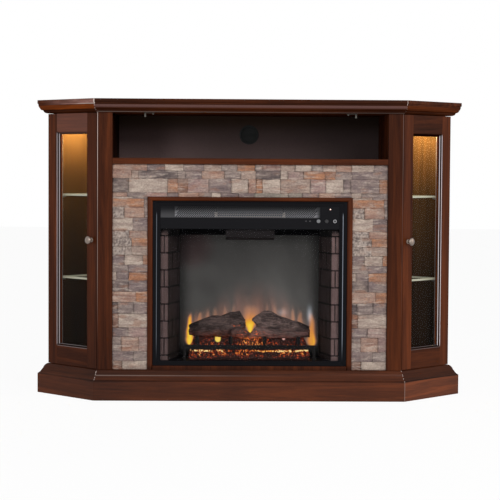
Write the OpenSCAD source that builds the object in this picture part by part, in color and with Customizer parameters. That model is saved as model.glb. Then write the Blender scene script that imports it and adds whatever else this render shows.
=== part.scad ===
// Corner media fireplace: a six-sided cabinet with an electric firebox, a stone surround,
// an open media bay and a glazed cabinet in each 45 degree wing.
// Millimetres. Origin on the floor under the middle, +Z up, -Y towards the room.

/* [Overall] */
// Width over the crown, from one wing tip to the other
crown_w = 1327; // [1220:1:1450]
// Depth over the crown, from front edge to back edge
crown_d = 381; // [360:1:420]
// Height of the top surface above the floor
crown_z = 914.4; // [890:0.1:980]
// How far the crown and the base stand out from the body
overhang = 24; // [22:0.5:30]

/* [Boards] */
// Thickness of the cabinet's upright boards
board_t = 18; // [15:0.5:22]
// Thickness of the back panels
back_t = 6; // [4:0.5:9]
// Height of the plinth boards
plinth_h = 60; // [45:1:80]
// Height of the moulding between the plinth and the body
base_cap_h = 32; // [28:1:40]
// Thickness of the top board
slab_t = 16; // [14:0.5:20]
// Height of the moulding under the top board, and thickness of the ceiling board
crown_moulding_h = 25; // [23:0.5:30]
// Thickness of the corner posts
post_t = 20; // [18:0.5:24]
// Width of a corner post's front face
post_face_w = 45; // [40:1:55]
// Width of the post that shows on the wing side
post_return_w = 3.5; // [2:0.5:6]
// Open line between two boards at a mitre or a butt joint
joint_gap = 0.1; // [0.06:0.02:0.2]

/* [Media bay] */
// Clear height of the media bay
bay_h = 137.4; // [120:0.1:150]
// Thickness of the media bay's floor shelf
bay_shelf_t = 18; // [15:0.5:22]
// Radius of the cable hole in the grommet
cable_r = 25; // [18:0.5:30]
// Height of the cable hole's centre above the bay's floor
cable_up = 78; // [60:1:85]
// Width of the grommet's flange
grommet_rim = 6; // [4:0.5:9]
// Distance of the panel catches from the middle
catch_x = 320; // [200:1:360]

/* [Stone surround] */
// Thickness of the cast panel behind the stones
stone_back_t = 12; // [8:0.5:16]
// How far the proudest stone stays behind the body's front
stone_recess = 3; // [1:0.5:6]
// Depth between the proudest stone and the cast panel
stone_relief = 8; // [5:0.5:10]
// Width of the joints between stones
stone_joint = 1.2; // [0.8:0.1:2]
// Chamfer along the long edges of a stone
stone_chamfer = 1.6; // [1:0.1:2]

/* [Firebox opening] */
// Width of the opening for the firebox
fire_w = 592; // [560:1:620]
// Height of the opening for the firebox
fire_h = 503; // [470:1:510]
// Thickness of the hearth board under the firebox
hearth_t = 12; // [9:0.5:16]
// Width of the wooden trim at the sides of the opening
trim_side = 15.5; // [12:0.5:20]
// Width of the wooden trim over the opening
trim_top = 11.5; // [9:0.5:16]
// Thickness of the wooden trim
trim_t = 16; // [12:0.5:20]

/* [Firebox] */
// Clearance between the firebox and the opening
fire_gap = 0.5; // [0.3:0.1:2]
// How far the firebox frame stays behind the body's front
frame_back = 6; // [3:0.5:8]
// Depth of the firebox frame's rim
frame_rim = 12; // [10:0.5:16]
// Width of the frame at the sides of the window
frame_side = 23.5; // [20:0.5:28]
// Height of the sill under the window
frame_sill = 15; // [12:0.5:20]
// Height of the band over the heater grille
frame_head = 14; // [12:0.5:16]
// Height of the panel that holds the grille and the buttons
panel_h = 70; // [66:1:76]
// Thickness of that panel
panel_t = 3; // [2:0.5:4]
// Thickness of the window glass
window_t = 4; // [3:0.5:5]
// Thickness of the firebox's steel sheet
sheet_t = 1.2; // [0.8:0.1:2]
// Depth of the firebox case behind its frame
case_d = 186; // [180:1:210]

/* [Heater and controls] */
// Width of the heater grille
grille_w = 442; // [400:1:450]
// Height of the heater grille
grille_h = 33; // [28:1:36]
// Width of the grille's slanting slots
mesh_slot = 3.6; // [3:0.1:4.2]
// Distance from one slot to the next
mesh_pitch = 6.6; // [6:0.1:8]
// Rows of slots
mesh_rows = 3; // [2:1:4]
// Thickness of the grille's sheet
mesh_t = 1.5; // [1:0.1:2]
// Radius of a push button
button_r = 5.5; // [4:0.1:7]
// Distance from one button to the next
button_pitch = 25; // [18:0.5:28]
// How far a button stands out of its panel
button_out = 3; // [2:0.1:4]
// Clearance round a button in its hole
button_gap = 0.3; // [0.2:0.05:0.5]
// Radius of the blower wheel
blower_r = 21; // [18:0.5:22]
// Length of the blower wheel
blower_l = 200; // [150:1:240]
// Number of blades on the blower wheel
blower_blades = 16; // [12:1:20]

/* [Fire effect] */
// Distance between the mortar lines of the brick liners
brick_pitch = 52.2; // [45:0.1:60]
// Height of the grate's bar above the firebox floor
bar_up = 34; // [30:1:40]
// Distance between the grate's finials
finial_pitch = 103; // [90:1:108]
// Radius of the turning flame rod
rod_r = 4; // [3:0.5:5]
// Number of reflectors along the flame rod
reflectors = 9; // [6:1:12]

/* [Doors] */
// Thickness of the door frame
door_t = 20; // [18:0.5:22]
// Gap between a door and the post, the base and the crown round it
door_gap = 1.5; // [1:0.1:3]
// Gap between the door and the end panel's edge, where the hinge leaves lie
leaf_gap = 2; // [1.8:0.1:2.4]
// Flat width of the door stile that carries the knob
stile_in_w = 43; // [38:1:48]
// Flat width of the door stile that carries the hinges
stile_out_w = 42; // [38:1:48]
// Flat height of the top rail
rail_top_h = 54.9; // [45:0.1:60]
// Flat height of the bottom rail
rail_bottom_h = 56.5; // [45:0.1:60]
// Width of the moulded edge round the glass
sash_w = 9; // [7:0.5:11]
// Thickness of the door glass
door_glass_t = 3; // [3:0.5:4]
// Height of the knob above the floor
knob_z = 486; // [400:1:600]
// Radius of the knob
knob_r = 12; // [9:0.5:14]

/* [Hinges] */
// Radius of a hinge barrel
barrel_r = 3; // [2.6:0.1:3.2]
// Radius of a hinge pin
pin_r = 1.45; // [1.2:0.05:1.6]
// Radial clearance of the pin in its barrel
pin_gap = 0.05; // [0.03:0.01:0.08]
// Thickness of a hinge leaf
leaf_t = 0.9; // [0.7:0.05:0.95]
// Width of a hinge leaf
leaf_w = 14; // [12:0.5:16]
// Length of a hinge
hinge_l = 40; // [35:1:50]
// Distance of a hinge's middle from the end of the door
hinge_end = 80; // [60:1:120]

/* [Cabinet fittings] */
// Height of the upper glass shelf above the floor
upper_shelf_z = 618; // [560:1:660]
// Height of the lower glass shelf above the floor
lower_shelf_z = 360; // [300:1:420]
// Thickness of the glass shelves
shelf_glass_t = 6; // [5:0.5:8]
// Clearance between a glass shelf and the walls round it
shelf_gap = 1.5; // [1:0.1:3]
// Radius of a shelf pin
shelf_pin_r = 2.5; // [2:0.1:3]
// How far a shelf pin stands out of its board
shelf_pin_l = 9; // [7:0.5:12]
// Radius of a cabinet lamp
lamp_r = 32; // [26:0.5:36]
// Height of a cabinet lamp
lamp_h = 12; // [10:0.5:16]

/* [Hidden] */

wood = "#4a2318";
stone = "#9c8f86";
steel = "#2a2c30";
s2 = sqrt(2);
eps = 1;

// Plan: a hexagon with a straight front, and wings and returns at 45 degrees
front_y = -crown_d / 2;
front_half = crown_w / 2 - crown_d / 2;
wing_len = crown_d / 2 * s2;
body_front = front_y + overhang;
body_back = -body_front;
inner_back = body_back - back_t;
ring_in = overhang + board_t;
wedge_in = ring_in + 20;

// Half width of the front edge, and of the wing tips, for a plan drawn in by i
function corner_x(i) = front_half - i * (s2 - 1);
function tip_x(i) = crown_w / 2 - i * s2;
// Point of the right wing, u along it from the crown's front corner, w in from its face
function wing_xy(u, w) = [front_half + (u - w) / s2, front_y + (u + w) / s2];
function plan(i, back) = [
    [-corner_x(i), front_y + i], [corner_x(i), front_y + i], [tip_x(i), 0],
    [tip_x(i) - back, back], [back - tip_x(i), back], [-tip_x(i), 0]];
function quarter(n) = [for (k = [0:n]) k * 90 / n];

// Heights
base_z = plinth_h + base_cap_h;
slab_z = crown_z - slab_t;
ceiling_z = slab_z - crown_moulding_h;
body_h = ceiling_z - base_z;
bay_z = ceiling_z - bay_h;
fire_z = base_z + hearth_t;
fire_top = fire_z + fire_h;
header_z = fire_top + trim_top;
header_top = bay_z - bay_shelf_t;

// Front of the body
post_end_u = overhang * (s2 - 1) + post_return_w;
bay_half = corner_x(overhang) - post_face_w;
cabinet_x = bay_half + board_t;
trim_half = fire_w / 2 + trim_side;
stone_front = body_front + stone_recess;
stone_back = stone_front + stone_relief;
// How far each stone reaches into the cast panel
stone_sunk = 2;

// Firebox
frame_half = fire_w / 2 - fire_gap;
frame_top = fire_top - 2 * fire_gap;
frame_y = body_front + frame_back;
case_y = frame_y + frame_rim;
case_half = frame_half - 4;
case_top = frame_top - 4;
window_half = frame_half - frame_side;
// Step of the frame: half the width inside it, its depth, and its distance from top and foot
frame_band = frame_half - 11;
frame_step = 1.8;
frame_lip = 5;
sill_z = fire_z + frame_sill;
panel_top = frame_top - frame_head;
panel_z = panel_top - panel_h;
panel_y = frame_y + 3;
floor_z = sill_z;
deck_z = panel_z + 4;
case_back = case_y + case_d;
screen_y = case_y + 104;
screen_half = window_half - 56;
screen_h = deck_z - floor_z - 27;
liner_t = 6;
pilaster_w = 23;
pilaster_t = 8;
grille_x = -8;
grille_end = grille_x + grille_w / 2;
grille_z = panel_top - 2 - grille_h;
button_z = panel_z + 25;
button_x = window_half - 39;
button_h = 8;
light_r = 2;
light_x = (grille_end + window_half) / 2 + 1.5;
light_z = grille_z + grille_h - 7;
dot_x = button_x - 57;
dot_pitch = 12;
ember_half = window_half - 86;
ember_h = 66;
ember_y = case_y + 16;
bar_half = window_half - 70;
bar_h = 13;
bar_y = case_y + 10;
bar_t = 5;
finial_h = 28;
rod_y = screen_y + 32;
rod_z = floor_z + 60;
rod_half = window_half - 67;
flame_lamp_x = rod_half - 95;
blower_y = case_y + 85;
blower_z = (deck_z + case_top) / 2;

// Doors, in the wing's frame
door_u0 = post_end_u + door_gap;
hinge_u = wing_len - overhang;
door_u1 = hinge_u - 1;
hinge_w = overhang + door_t + leaf_gap / 2;
leaf_w0 = overhang + door_t + leaf_gap;
door_z0 = base_z + door_gap;
door_z1 = ceiling_z - door_gap;
sash_u0 = door_u0 + stile_in_w;
sash_u1 = door_u1 - stile_out_w;
sash_z0 = door_z0 + rail_bottom_h;
sash_z1 = door_z1 - rail_top_h;
sash_back = overhang + 14;
knob_u = door_u0 + stile_in_w / 2;
notch_r = barrel_r + 0.4;
notch_end = 0.5;
pin_head = 1.2;
knuckle = hinge_l / 3;
hinge_zs = [door_z0 + hinge_end, door_z1 - hinge_end];
catch_z = knob_z + 80;
catch_h = 14;
door_stop_h = 10;
door_stop_t = 8;
strike_t = 1.2;
strike_gap = 0.3;
lamp_x = cabinet_x + 66;
lens_t = 3;

// Stone courses from the top down: height, then the lengths of the stones from the left.
// Heights and lengths are scaled to fill the space.
column_courses = [
    [6, [60, 46]], [26, [96, 11]], [32, [36, 62, 9]], [39, [62, 44]],
    [22, [50, 56]], [25, [58, 48]], [27, [58, 48]], [30, [36, 57, 13]], [22, [48, 58]],
    [25, [12, 38, 56]], [34, [49, 57]], [33, [72, 34]], [35, [16, 48, 42]],
    [42, [19, 87]], [28, [48, 58]], [44, [27, 54, 25]], [30, [64, 42]], [26, [30, 76]]];
header_courses = [
    [20, [105, 52, 57, 63, 52, 48, 54, 23, 54, 44, 50, 34, 40, 48, 67, 43]],
    [24, [57, 22, 118, 25, 48, 69, 50, 46, 74, 22, 48, 66, 31, 50, 110]],
    [42, [48, 116, 30, 31, 62, 67, 51, 23, 20, 53, 90, 46, 53, 22, 85, 26]],
    [13, [44, 58, 62, 35, 62, 38, 27, 55, 47, 104, 42, 50, 49, 49, 31, 80]]];

function total(list, n) = n <= 0 ? 0 : list[n - 1] + total(list, n - 1);
function hash(a, b) = let (v = sin(a * 127.1 + b * 311.7) * 43.7) v - floor(v);

// Outlines of the mouldings: distance in from the outer face, then height
cap_toe = [2.4, 1.8];
cap_lip = [11, 15];
cap_step = 1.2;
cap_hollow = [[0, 0], [0.32, 0.22], [0.62, 0.5], [0.84, 0.78], [1, 1]];
cap_shoulder = [[0, 0], [0.12, 0.29], [0.32, 0.59], [0.6, 0.83], [0.8, 0.95], [1, 1]];
base_cap_outline = concat(
    [[0, plinth_h], [cap_step, plinth_h + cap_step]],
    [for (p = cap_hollow) [cap_toe[0] + (cap_lip[0] - cap_toe[0]) * p[0],
        plinth_h + cap_toe[1] + (cap_lip[1] - cap_toe[1]) * p[1]]],
    [for (p = cap_shoulder) [cap_lip[0] + cap_step + (overhang - cap_lip[0] - cap_step) * p[0],
        plinth_h + cap_lip[1] + cap_step + (base_cap_h - cap_lip[1] - cap_step) * p[1]]],
    [[overhang, base_z - board_t], [ring_in, base_z - board_t], [ring_in, plinth_h]]);
slab_edge = 11;
quirk = 2;
bead_in = 13.5;
bead_h = 8;
crown_outline = concat(
    [[ring_in, slab_z], [quirk, slab_z], [quirk + 1.6, slab_z - 5],
    [bead_in - 5.5, ceiling_z + bead_h + 3], [bead_in - 1, ceiling_z + bead_h + 0.8]],
    [for (a = quarter(4)) [overhang - (overhang - bead_in) * cos(a),
        ceiling_z + bead_h * (1 - sin(a))]],
    [[ring_in, ceiling_z]]);
sash_outline = [[0, overhang + 1.2], [sash_w * 0.3, overhang + 2.2],
    [sash_w * 0.6, overhang + 4.2], [sash_w * 0.85, overhang + 7.5],
    [sash_w, overhang + 10], [sash_w, sash_back], [0, sash_back]];
bead_outline = [[0, sash_back + door_glass_t], [sash_w - 2, sash_back + door_glass_t],
    [sash_w - 4, overhang + door_t], [0, overhang + door_t]];

module pair() {
    children();
    mirror([1, 0, 0]) children();
}

// The right wing's frame: X along the wing, Y in from its face
module wing() {
    translate([front_half, front_y, 0]) rotate([0, 0, 45]) children();
}

// The right return's frame: X from the wing tip to the back, Y in from its face
module side() {
    translate([crown_w / 2, 0, 0]) rotate([0, 0, 135]) children();
}

module run(length, outline) {
    translate([-eps, 0, 0]) rotate([90, 0, 90])
        linear_extrude(length + 2 * eps) polygon(outline);
}

module mitre(points) {
    translate([0, 0, -eps]) linear_extrude(crown_z + 2 * eps) polygon(points);
}

// A moulding or board along the front, the wings and the returns, mitred at the corners
module ring(outline) {
    o = -eps;
    n = wedge_in;
    difference() {
        ring_runs(outline, o, n);
        pair() {
            hairline([corner_x(o), front_y + o], [corner_x(n), front_y + n], [joint_gap / 2, 0]);
            hairline([tip_x(o), 0], [tip_x(n), 0], [0, joint_gap / 2]);
        }
    }
}

// The open line of a mitre from a to b, d to each side of it
module hairline(a, b, d) {
    mitre([a - d, a + d, b + d, b - d]);
}

module ring_runs(outline, o, n) {
    intersection() {
        translate([-front_half, front_y, 0]) run(2 * front_half, outline);
        mitre([[-corner_x(o), front_y + o], [corner_x(o), front_y + o],
            [corner_x(n), front_y + n], [-corner_x(n), front_y + n]]);
    }
    pair() intersection() {
        wing() run(wing_len, outline);
        mitre([[corner_x(o), front_y + o], [tip_x(o), 0], [tip_x(n), 0],
            [corner_x(n), front_y + n]]);
    }
    pair() intersection() {
        side() run(wing_len, outline);
        mitre([[tip_x(o), 0], [tip_x(o) - body_back, body_back],
            [tip_x(n) - body_back, body_back], [tip_x(n), 0]]);
    }
}

module plate(points, z0, z1) {
    translate([0, 0, z0]) linear_extrude(z1 - z0) polygon(points);
}

// Rail across the back between the returns, its ends cut to a ring drawn in by i
module back_rail(i, z0, z1) {
    a = body_back - board_t;
    plate([[a - tip_x(i), a], [tip_x(i) - a, a], [tip_x(i) - body_back, body_back],
        [body_back - tip_x(i), body_back]], z0, z1);
}

module plinth() color(wood) {
    ring([[0, 0], [board_t, 0], [board_t, plinth_h], [0, plinth_h]]);
    union() {
        back_rail(board_t, 0, plinth_h);
        back_rail(ring_in, plinth_h, base_z - board_t);
    }
}

module base_cap() color(wood) ring(base_cap_outline);

module base_board() color(wood) plate(plan(overhang, body_back), base_z - board_t, base_z);

module ceiling_board() color(wood) plate(plan(ring_in, body_back), ceiling_z, slab_z);

// Strip under the ceiling board that stops each door and closes the gap over it
module door_stops() color(wood) pair() wing()
    translate([post_end_u + 0.3, leaf_w0, ceiling_z - door_stop_h])
        cube([hinge_u - board_t - post_end_u - 0.6, door_stop_t, door_stop_h]);

module top_board() color(wood) union() {
    plate(plan(0, -front_y), crown_z - slab_edge, crown_z);
    plate(plan(quirk, -front_y - quirk), slab_z, crown_z - slab_edge);
}

module crown_moulding() color(wood) ring(crown_outline);

module corner_posts() color(wood) pair()
    plate([[bay_half, body_front], [corner_x(overhang), body_front],
        wing_xy(post_end_u, overhang),
        wing_xy(post_end_u, (body_front + post_t - front_y) * s2 - post_end_u),
        [bay_half, body_front + post_t]], base_z, ceiling_z);

module partitions() color(wood) pair()
    translate([bay_half, body_front + post_t, base_z])
        cube([board_t, inner_back - body_front - post_t, body_h]);

module hinge_notches() {
    for (z = hinge_zs) translate([hinge_u, hinge_w, z - hinge_l / 2 - notch_end])
        cylinder(r = notch_r, h = hinge_l + pin_head + 2 * notch_end, $fn = 32);
}

module end_panels() color(wood) pair() wing() difference() {
    cut = (inner_back - front_y) * s2;
    plate([[hinge_u - board_t, leaf_w0], [hinge_u, leaf_w0], [hinge_u, cut - hinge_u],
        [hinge_u - board_t, cut - hinge_u + board_t]], base_z, ceiling_z);
    hinge_notches();
}

module back_sheet(z0, z1) {
    x0 = tip_x(overhang) - inner_back;
    x1 = tip_x(overhang) - body_back;
    plate([[-x0, inner_back], [x0, inner_back], [x1, body_back], [-x1, body_back]], z0, z1);
}

service_half = 240;
service_z = [base_z + 60, header_z - 120];

module back_panel_upper() color("#3a2018") difference() {
    back_sheet(header_top, ceiling_z);
    translate([0, inner_back - eps, bay_z + cable_up]) rotate([-90, 0, 0])
        cylinder(r = cable_r + 2.2, h = back_t + 2 * eps, $fn = 64);
}

module back_panel_lower() color("#3a2018") difference() {
    back_sheet(base_z, header_top);
    translate([-service_half, inner_back - eps, service_z[0]])
        cube([2 * service_half, back_t + 2 * eps, service_z[1] - service_z[0]]);
}

module bay_shelf() color(wood)
    translate([-bay_half, body_front, header_top])
        cube([2 * bay_half, inner_back - body_front, bay_shelf_t]);

module hearth_board() color(wood)
    translate([-trim_half, body_front + trim_t, base_z])
        cube([2 * trim_half, case_back + 20 - body_front - trim_t, hearth_t]);

module cable_grommet() color("#151516")
    translate([0, inner_back, bay_z + cable_up]) rotate([90, 0, 0])
        rotate_extrude($fn = 64) polygon([[cable_r, -back_t], [cable_r + 2, -back_t],
            [cable_r + 2, 0], [cable_r + grommet_rim, 0], [cable_r + grommet_rim - 1, 2],
            [cable_r + 1, 2.6], [cable_r, 2]]);

module panel_catches() color("#8d8d90") pair()
    translate([catch_x, body_front + 20, ceiling_z]) union() {
        translate([-28, -6, -1.5]) cube([31, 12, 1.5]);
        translate([-2.5, -5, -13]) cube([5, 1.6, 12]);
        translate([-2.5, -5, -13]) cube([5, 7, 1.6]);
        translate([-26, -5, -6]) cube([4, 1.6, 5]);
    }

// Section of the trim: share of its width outwards from the opening, then depth behind
// the body's front. A round between a low inner and a low outer edge
trim_section = [[0, trim_t], [0, 4.6], [0.05, 3.2], [0.16, 1.5], [0.3, 0.45], [0.46, 0],
    [0.62, 0.3], [0.78, 1.1], [0.92, 2.3], [1, 3], [1, trim_t]];

// The wooden frame round the firebox: two sides and a head, mitred, and a foot between them
module firebox_trim() color(wood) {
    pair() difference() {
        translate([fire_w / 2, body_front, base_z]) linear_extrude(header_z - base_z)
            polygon([for (p = trim_section) [p[0] * trim_side, p[1]]]);
        trim_mitre(-joint_gap / 2, header_z + eps);
    }
    difference() {
        translate([-trim_half, body_front, fire_top]) rotate([90, 0, 90])
            linear_extrude(2 * trim_half) polygon([for (p = trim_section) [p[1], p[0] * trim_top]]);
        pair() trim_mitre(joint_gap / 2, fire_top - eps);
    }
    w = fire_w - 2 * joint_gap;
    translate([-w / 2, body_front, base_z]) cube([w, trim_t, hearth_t]);
}

// What the right mitre takes from one of its boards: from its line, raised by g, to height z
module trim_mitre(g, z) {
    rise = eps * trim_top / trim_side;
    a = fire_w / 2 - eps;
    b = trim_half + eps;
    translate([0, body_front + trim_t + eps, 0]) rotate([90, 0, 0])
        linear_extrude(trim_t + 2 * eps)
            polygon([[a, fire_top - rise + g], [b, header_z + rise + g], [b, z], [a, z]]);
}

// One split stone: a prism whose face is broken along its length
module ledge(length, height, proud, tilt) {
    c = stone_chamfer;
    rotate([90, 0, 90]) linear_extrude(length) polygon([
        [stone_sunk, 0], [c - proud, 0], [-proud, c], [-proud - tilt, height * 0.55],
        [tilt - proud, height - c], [c + tilt - proud, height], [stone_sunk, height]]);
}

// Courses of stones that fill a panel from its top left corner
module stonework(courses, width, height) {
    tall = [for (c = courses) c[0]];
    ky = height / total(tall, len(tall));
    for (i = [0:len(courses) - 1]) {
        row = courses[i][1];
        kx = width / total(row, len(row));
        h = courses[i][0] * ky - stone_joint;
        for (j = [0:len(row) - 1]) {
            proud = stone_relief * (0.45 + 0.45 * hash(i, j));
            translate([kx * total(row, j) + stone_joint / 2, stone_back,
                height - ky * total(tall, i) - h - stone_joint / 2])
                ledge(kx * row[j] - stone_joint, h, proud, 0.1 * stone_relief);
        }
    }
}

module stone_header() color(stone)
    translate([-bay_half, 0, header_z]) union() {
        translate([0, stone_back, 0]) cube([2 * bay_half, stone_back_t, header_top - header_z]);
        stonework(header_courses, 2 * bay_half, header_top - header_z);
    }

module stone_columns() color(stone) {
    w = bay_half - trim_half;
    for (x = [-bay_half, trim_half]) translate([x, 0, base_z]) union() {
        translate([0, stone_back, 0]) cube([w, stone_back_t, header_z - base_z]);
        stonework(column_courses, w, header_z - base_z);
    }
}

module cabinet_lamps() color("#b9b4ac") pair()
    translate([lamp_x, 0, ceiling_z - lamp_h]) rotate_extrude($fn = 64)
        polygon([[0, lens_t], [lamp_r - 5, lens_t], [lamp_r - 5, 0], [lamp_r - 2, 0],
            [lamp_r, 2], [lamp_r, lamp_h], [0, lamp_h]]);

module lamp_lenses() color("#ffe0a0") pair()
    translate([lamp_x, 0, ceiling_z - lamp_h]) cylinder(r = lamp_r - 5.2, h = lens_t, $fn = 64);

// Space inside a cabinet, its walls drawn in by g, its open side w in from the wing's face
function cabinet_plan(w, g) = let (r = ring_in + g, x = cabinet_x + g, b = inner_back - g) [
    [x, x - tip_x(w)], [(tip_x(w) + tip_x(r)) / 2, (tip_x(r) - tip_x(w)) / 2],
    [tip_x(r) - b, b], [x, b]];

module glass_shelves() color("#cfe6dd") pair()
    for (z = [upper_shelf_z, lower_shelf_z])
        plate(cabinet_plan(leaf_w0 + 12, shelf_gap), z, z + shelf_glass_t);

module shelf_pin() {
    cylinder(r = shelf_pin_r + 1.5, h = 1.2, $fn = 24);
    cylinder(r = shelf_pin_r, h = shelf_pin_l, $fn = 24);
}

module shelf_pins() color("#b5b7ba") pair()
    for (z = [upper_shelf_z, lower_shelf_z]) {
        for (y = [-0.59, 0.75]) translate([cabinet_x, y * inner_back, z - shelf_pin_r - 0.1])
            rotate([0, 90, 0]) shelf_pin();
        for (x = [0.26, 0.7]) side() translate([x * wing_len, ring_in, z - shelf_pin_r - 0.1])
            rotate([-90, 0, 0]) shelf_pin();
    }

// Block on the partition that holds a magnet against the closed door
module magnet_catches() color("#6f6a66") pair() {
    w = leaf_w0 - leaf_gap + strike_t + strike_gap;
    a = wing_xy(door_u0 + 17, w);
    b = wing_xy(door_u0 + 35, w);
    c = wing_xy(door_u0 + 35, w + 15);
    plate([a, b, c, [cabinet_x, c[1]], [cabinet_x, a[1]]], catch_z, catch_z + catch_h);
}

// Hinge leaf: a flat plate and the knuckles that it carries. flip 0 lies on the door,
// flip 1 on the end panel
module hinge_leaf(flip) {
    w = flip == 1 ? leaf_w0 - leaf_t : leaf_w0 - leaf_gap;
    spans = flip == 1 ? [0, 2] : [1];
    reach = notch_r + 0.1;
    difference() {
        union() {
            translate([hinge_u - leaf_w, w, -hinge_l / 2]) cube([leaf_w - reach, leaf_t, hinge_l]);
            for (k = spans) translate([0, 0, -hinge_l / 2 + k * knuckle + 0.1]) {
                translate([hinge_u - reach - eps, w, 0])
                    cube([reach + eps, leaf_t, knuckle - 0.2]);
                translate([hinge_u, hinge_w, 0]) cylinder(r = barrel_r, h = knuckle - 0.2, $fn = 32);
            }
        }
        translate([hinge_u, hinge_w, -hinge_l]) cylinder(r = pin_r + pin_gap, h = 2 * hinge_l, $fn = 32);
    }
}

module hinge_fixed_leaves() color("#9a9a9c") pair() wing()
    for (z = hinge_zs) translate([0, 0, z]) hinge_leaf(1);

module hinge_pins() color("#b0b0b2") pair() wing()
    for (z = hinge_zs) translate([hinge_u, hinge_w, z]) rotate_extrude($fn = 32)
        polygon([[0, -hinge_l / 2], [pin_r, -hinge_l / 2], [pin_r, hinge_l / 2 - 0.1],
            [pin_r + 1, hinge_l / 2 - 0.1], [pin_r + 0.6, hinge_l / 2 + pin_head - 0.2],
            [0, hinge_l / 2 + pin_head]]);

// Folded steel case: floor, sides, top, back and the deck under the heater
module firebox_case() color(steel) {
    t = sheet_t;
    translate([-case_half, case_y, fire_z]) cube([2 * case_half, case_d, t]);
    translate([-case_half, case_y, case_top - t]) cube([2 * case_half, case_d, t]);
    for (x = [-case_half, case_half - t])
        translate([x, case_y, fire_z + t]) cube([t, case_d - t, case_top - fire_z - 2 * t]);
    translate([-case_half, case_back - t, fire_z + t])
        cube([2 * case_half, t, case_top - fire_z - 2 * t]);
    translate([t - case_half, case_y, deck_z]) cube([2 * case_half - 2 * t, case_d - t, t]);
    translate([t - case_half, case_y, fire_z + t])
        cube([2 * case_half - 2 * t, screen_y - case_y, floor_z - fire_z - t]);
    translate([t - case_half, screen_y, fire_z + t]) cube([2 * case_half - 2 * t, 2, 22]);
}

// Frame with a bevelled step down to its inner band, like a picture frame's
module firebox_frame() color(steel) {
    difference() {
        translate([-frame_half, frame_y, fire_z])
            cube([2 * frame_half, frame_rim, frame_top - fire_z]);
        translate([-window_half, frame_y - eps, sill_z])
            cube([2 * window_half, frame_rim + 2 * eps, panel_top - sill_z]);
        frame_recess();
    }
}

// Shallow recess with sides at 45 degrees: its plan and its upright section meet
module frame_recess() intersection() {
    g = frame_step + eps;
    b = frame_band;
    low = fire_z + frame_lip;
    high = frame_top - frame_lip;
    outside = frame_y - eps;
    inside = frame_y + frame_step;
    plate([[-b - g, outside], [b + g, outside], [b, inside], [-b, inside]], low - g, high + g);
    translate([-b - g, 0, 0]) rotate([90, 0, 90]) linear_extrude(2 * (b + g))
        polygon([[outside, low - g], [inside, low], [inside, high], [outside, high + g]]);
}

module firebox_glass() color("#30343880")
    translate([-window_half, frame_y + frame_rim - window_t, sill_z])
        cube([2 * window_half, window_t, panel_z - sill_z]);

module button_places() {
    for (k = [-1:1]) translate([button_x + k * button_pitch, panel_y, button_z]) children();
}

// Plate with the grille's opening, the button holes and the light holes
module control_panel() color(steel) difference() {
    translate([-window_half, panel_y, panel_z]) cube([2 * window_half, panel_t, panel_h]);
    translate([grille_x - grille_w / 2, panel_y - eps, grille_z])
        cube([grille_w, panel_t + 2 * eps, grille_h]);
    button_places() translate([0, -eps, 0]) rotate([-90, 0, 0])
        cylinder(r = button_r + button_gap, h = panel_t + 2 * eps, $fn = 32);
    light_places() translate([0, -eps, 0]) rotate([-90, 0, 0])
        cylinder(r = light_r + 0.1, h = panel_t + 2 * eps, $fn = 24);
}

module light_places() {
    for (p = [[light_x, light_z], [dot_x - dot_pitch / 2, button_z],
        [dot_x + dot_pitch / 2, button_z]]) translate([p[0], panel_y, p[1]]) children();
}

module indicator_lights() color("#ff6a50") light_places() rotate([90, 0, 0])
    rotate_extrude($fn = 24) polygon([[0, -panel_t - 1.5], [light_r + 1, -panel_t - 1.5],
        [light_r + 1, -panel_t], [light_r, -panel_t], [light_r, 0], [0.7 * light_r, 0.7], [0, 1]]);

// Sheet with rows of slots that slant at 45 degrees, each row in line with the one under it
module heater_grille() color("#8f9196")
    translate([grille_x, panel_y + panel_t + mesh_t, grille_z + grille_h / 2])
        rotate([90, 0, 0]) linear_extrude(mesh_t) difference() {
            lap = 4;
            square([grille_w + 2 * lap, grille_h + 2 * lap - 6], center = true);
            step = grille_h / mesh_rows;
            h = step - 1.4;
            start = (h + mesh_slot - grille_w) / 2 + 1;
            cols = floor((-2 * start) / mesh_pitch) - 1;
            for (r = [0:mesh_rows - 1]) for (c = [0:cols])
                translate([start + c * mesh_pitch + (r * step) % mesh_pitch,
                    (r + 0.5) * step - grille_h / 2]) multmatrix([[1, 1, 0, 0], [0, 1, 0, 0],
                    [0, 0, 1, 0], [0, 0, 0, 1]]) square([mesh_slot, h], center = true);
        }

// Push button: a cap with a collar behind the panel
module push_button(k) {
    translate([button_x + k * button_pitch, panel_y, button_z]) rotate([90, 0, 0])
        rotate_extrude($fn = 32) polygon([[0, -button_h], [button_r - 1.5, -button_h],
            [button_r - 1.5, -panel_t - 1.7], [button_r + 1.5, -panel_t - 1.7],
            [button_r + 1.5, -panel_t - 0.1], [button_r, -panel_t - 0.1],
            [button_r, button_out - 0.8], [button_r - 0.8, button_out],
            [button_r - 2, button_out], [button_r - 2.6, button_out - 0.5], [0, button_out - 0.5]]);
}

module power_button() color("#9a9ca0") push_button(-1);
module heater_button() color("#3c3e42") push_button(0);
module flame_button() color("#9a9ca0") push_button(1);

// Outlet housing under the heater deck
module air_duct() color("#4b4648")
    translate([0, case_y + 2, 0]) rotate([90, 0, 90]) translate([0, 0, -74])
        linear_extrude(148) polygon([[0, deck_z], [0, deck_z - 30], [14, deck_z - 38],
            [46, deck_z - 38], [60, deck_z - 20], [60, deck_z]]);

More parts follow.
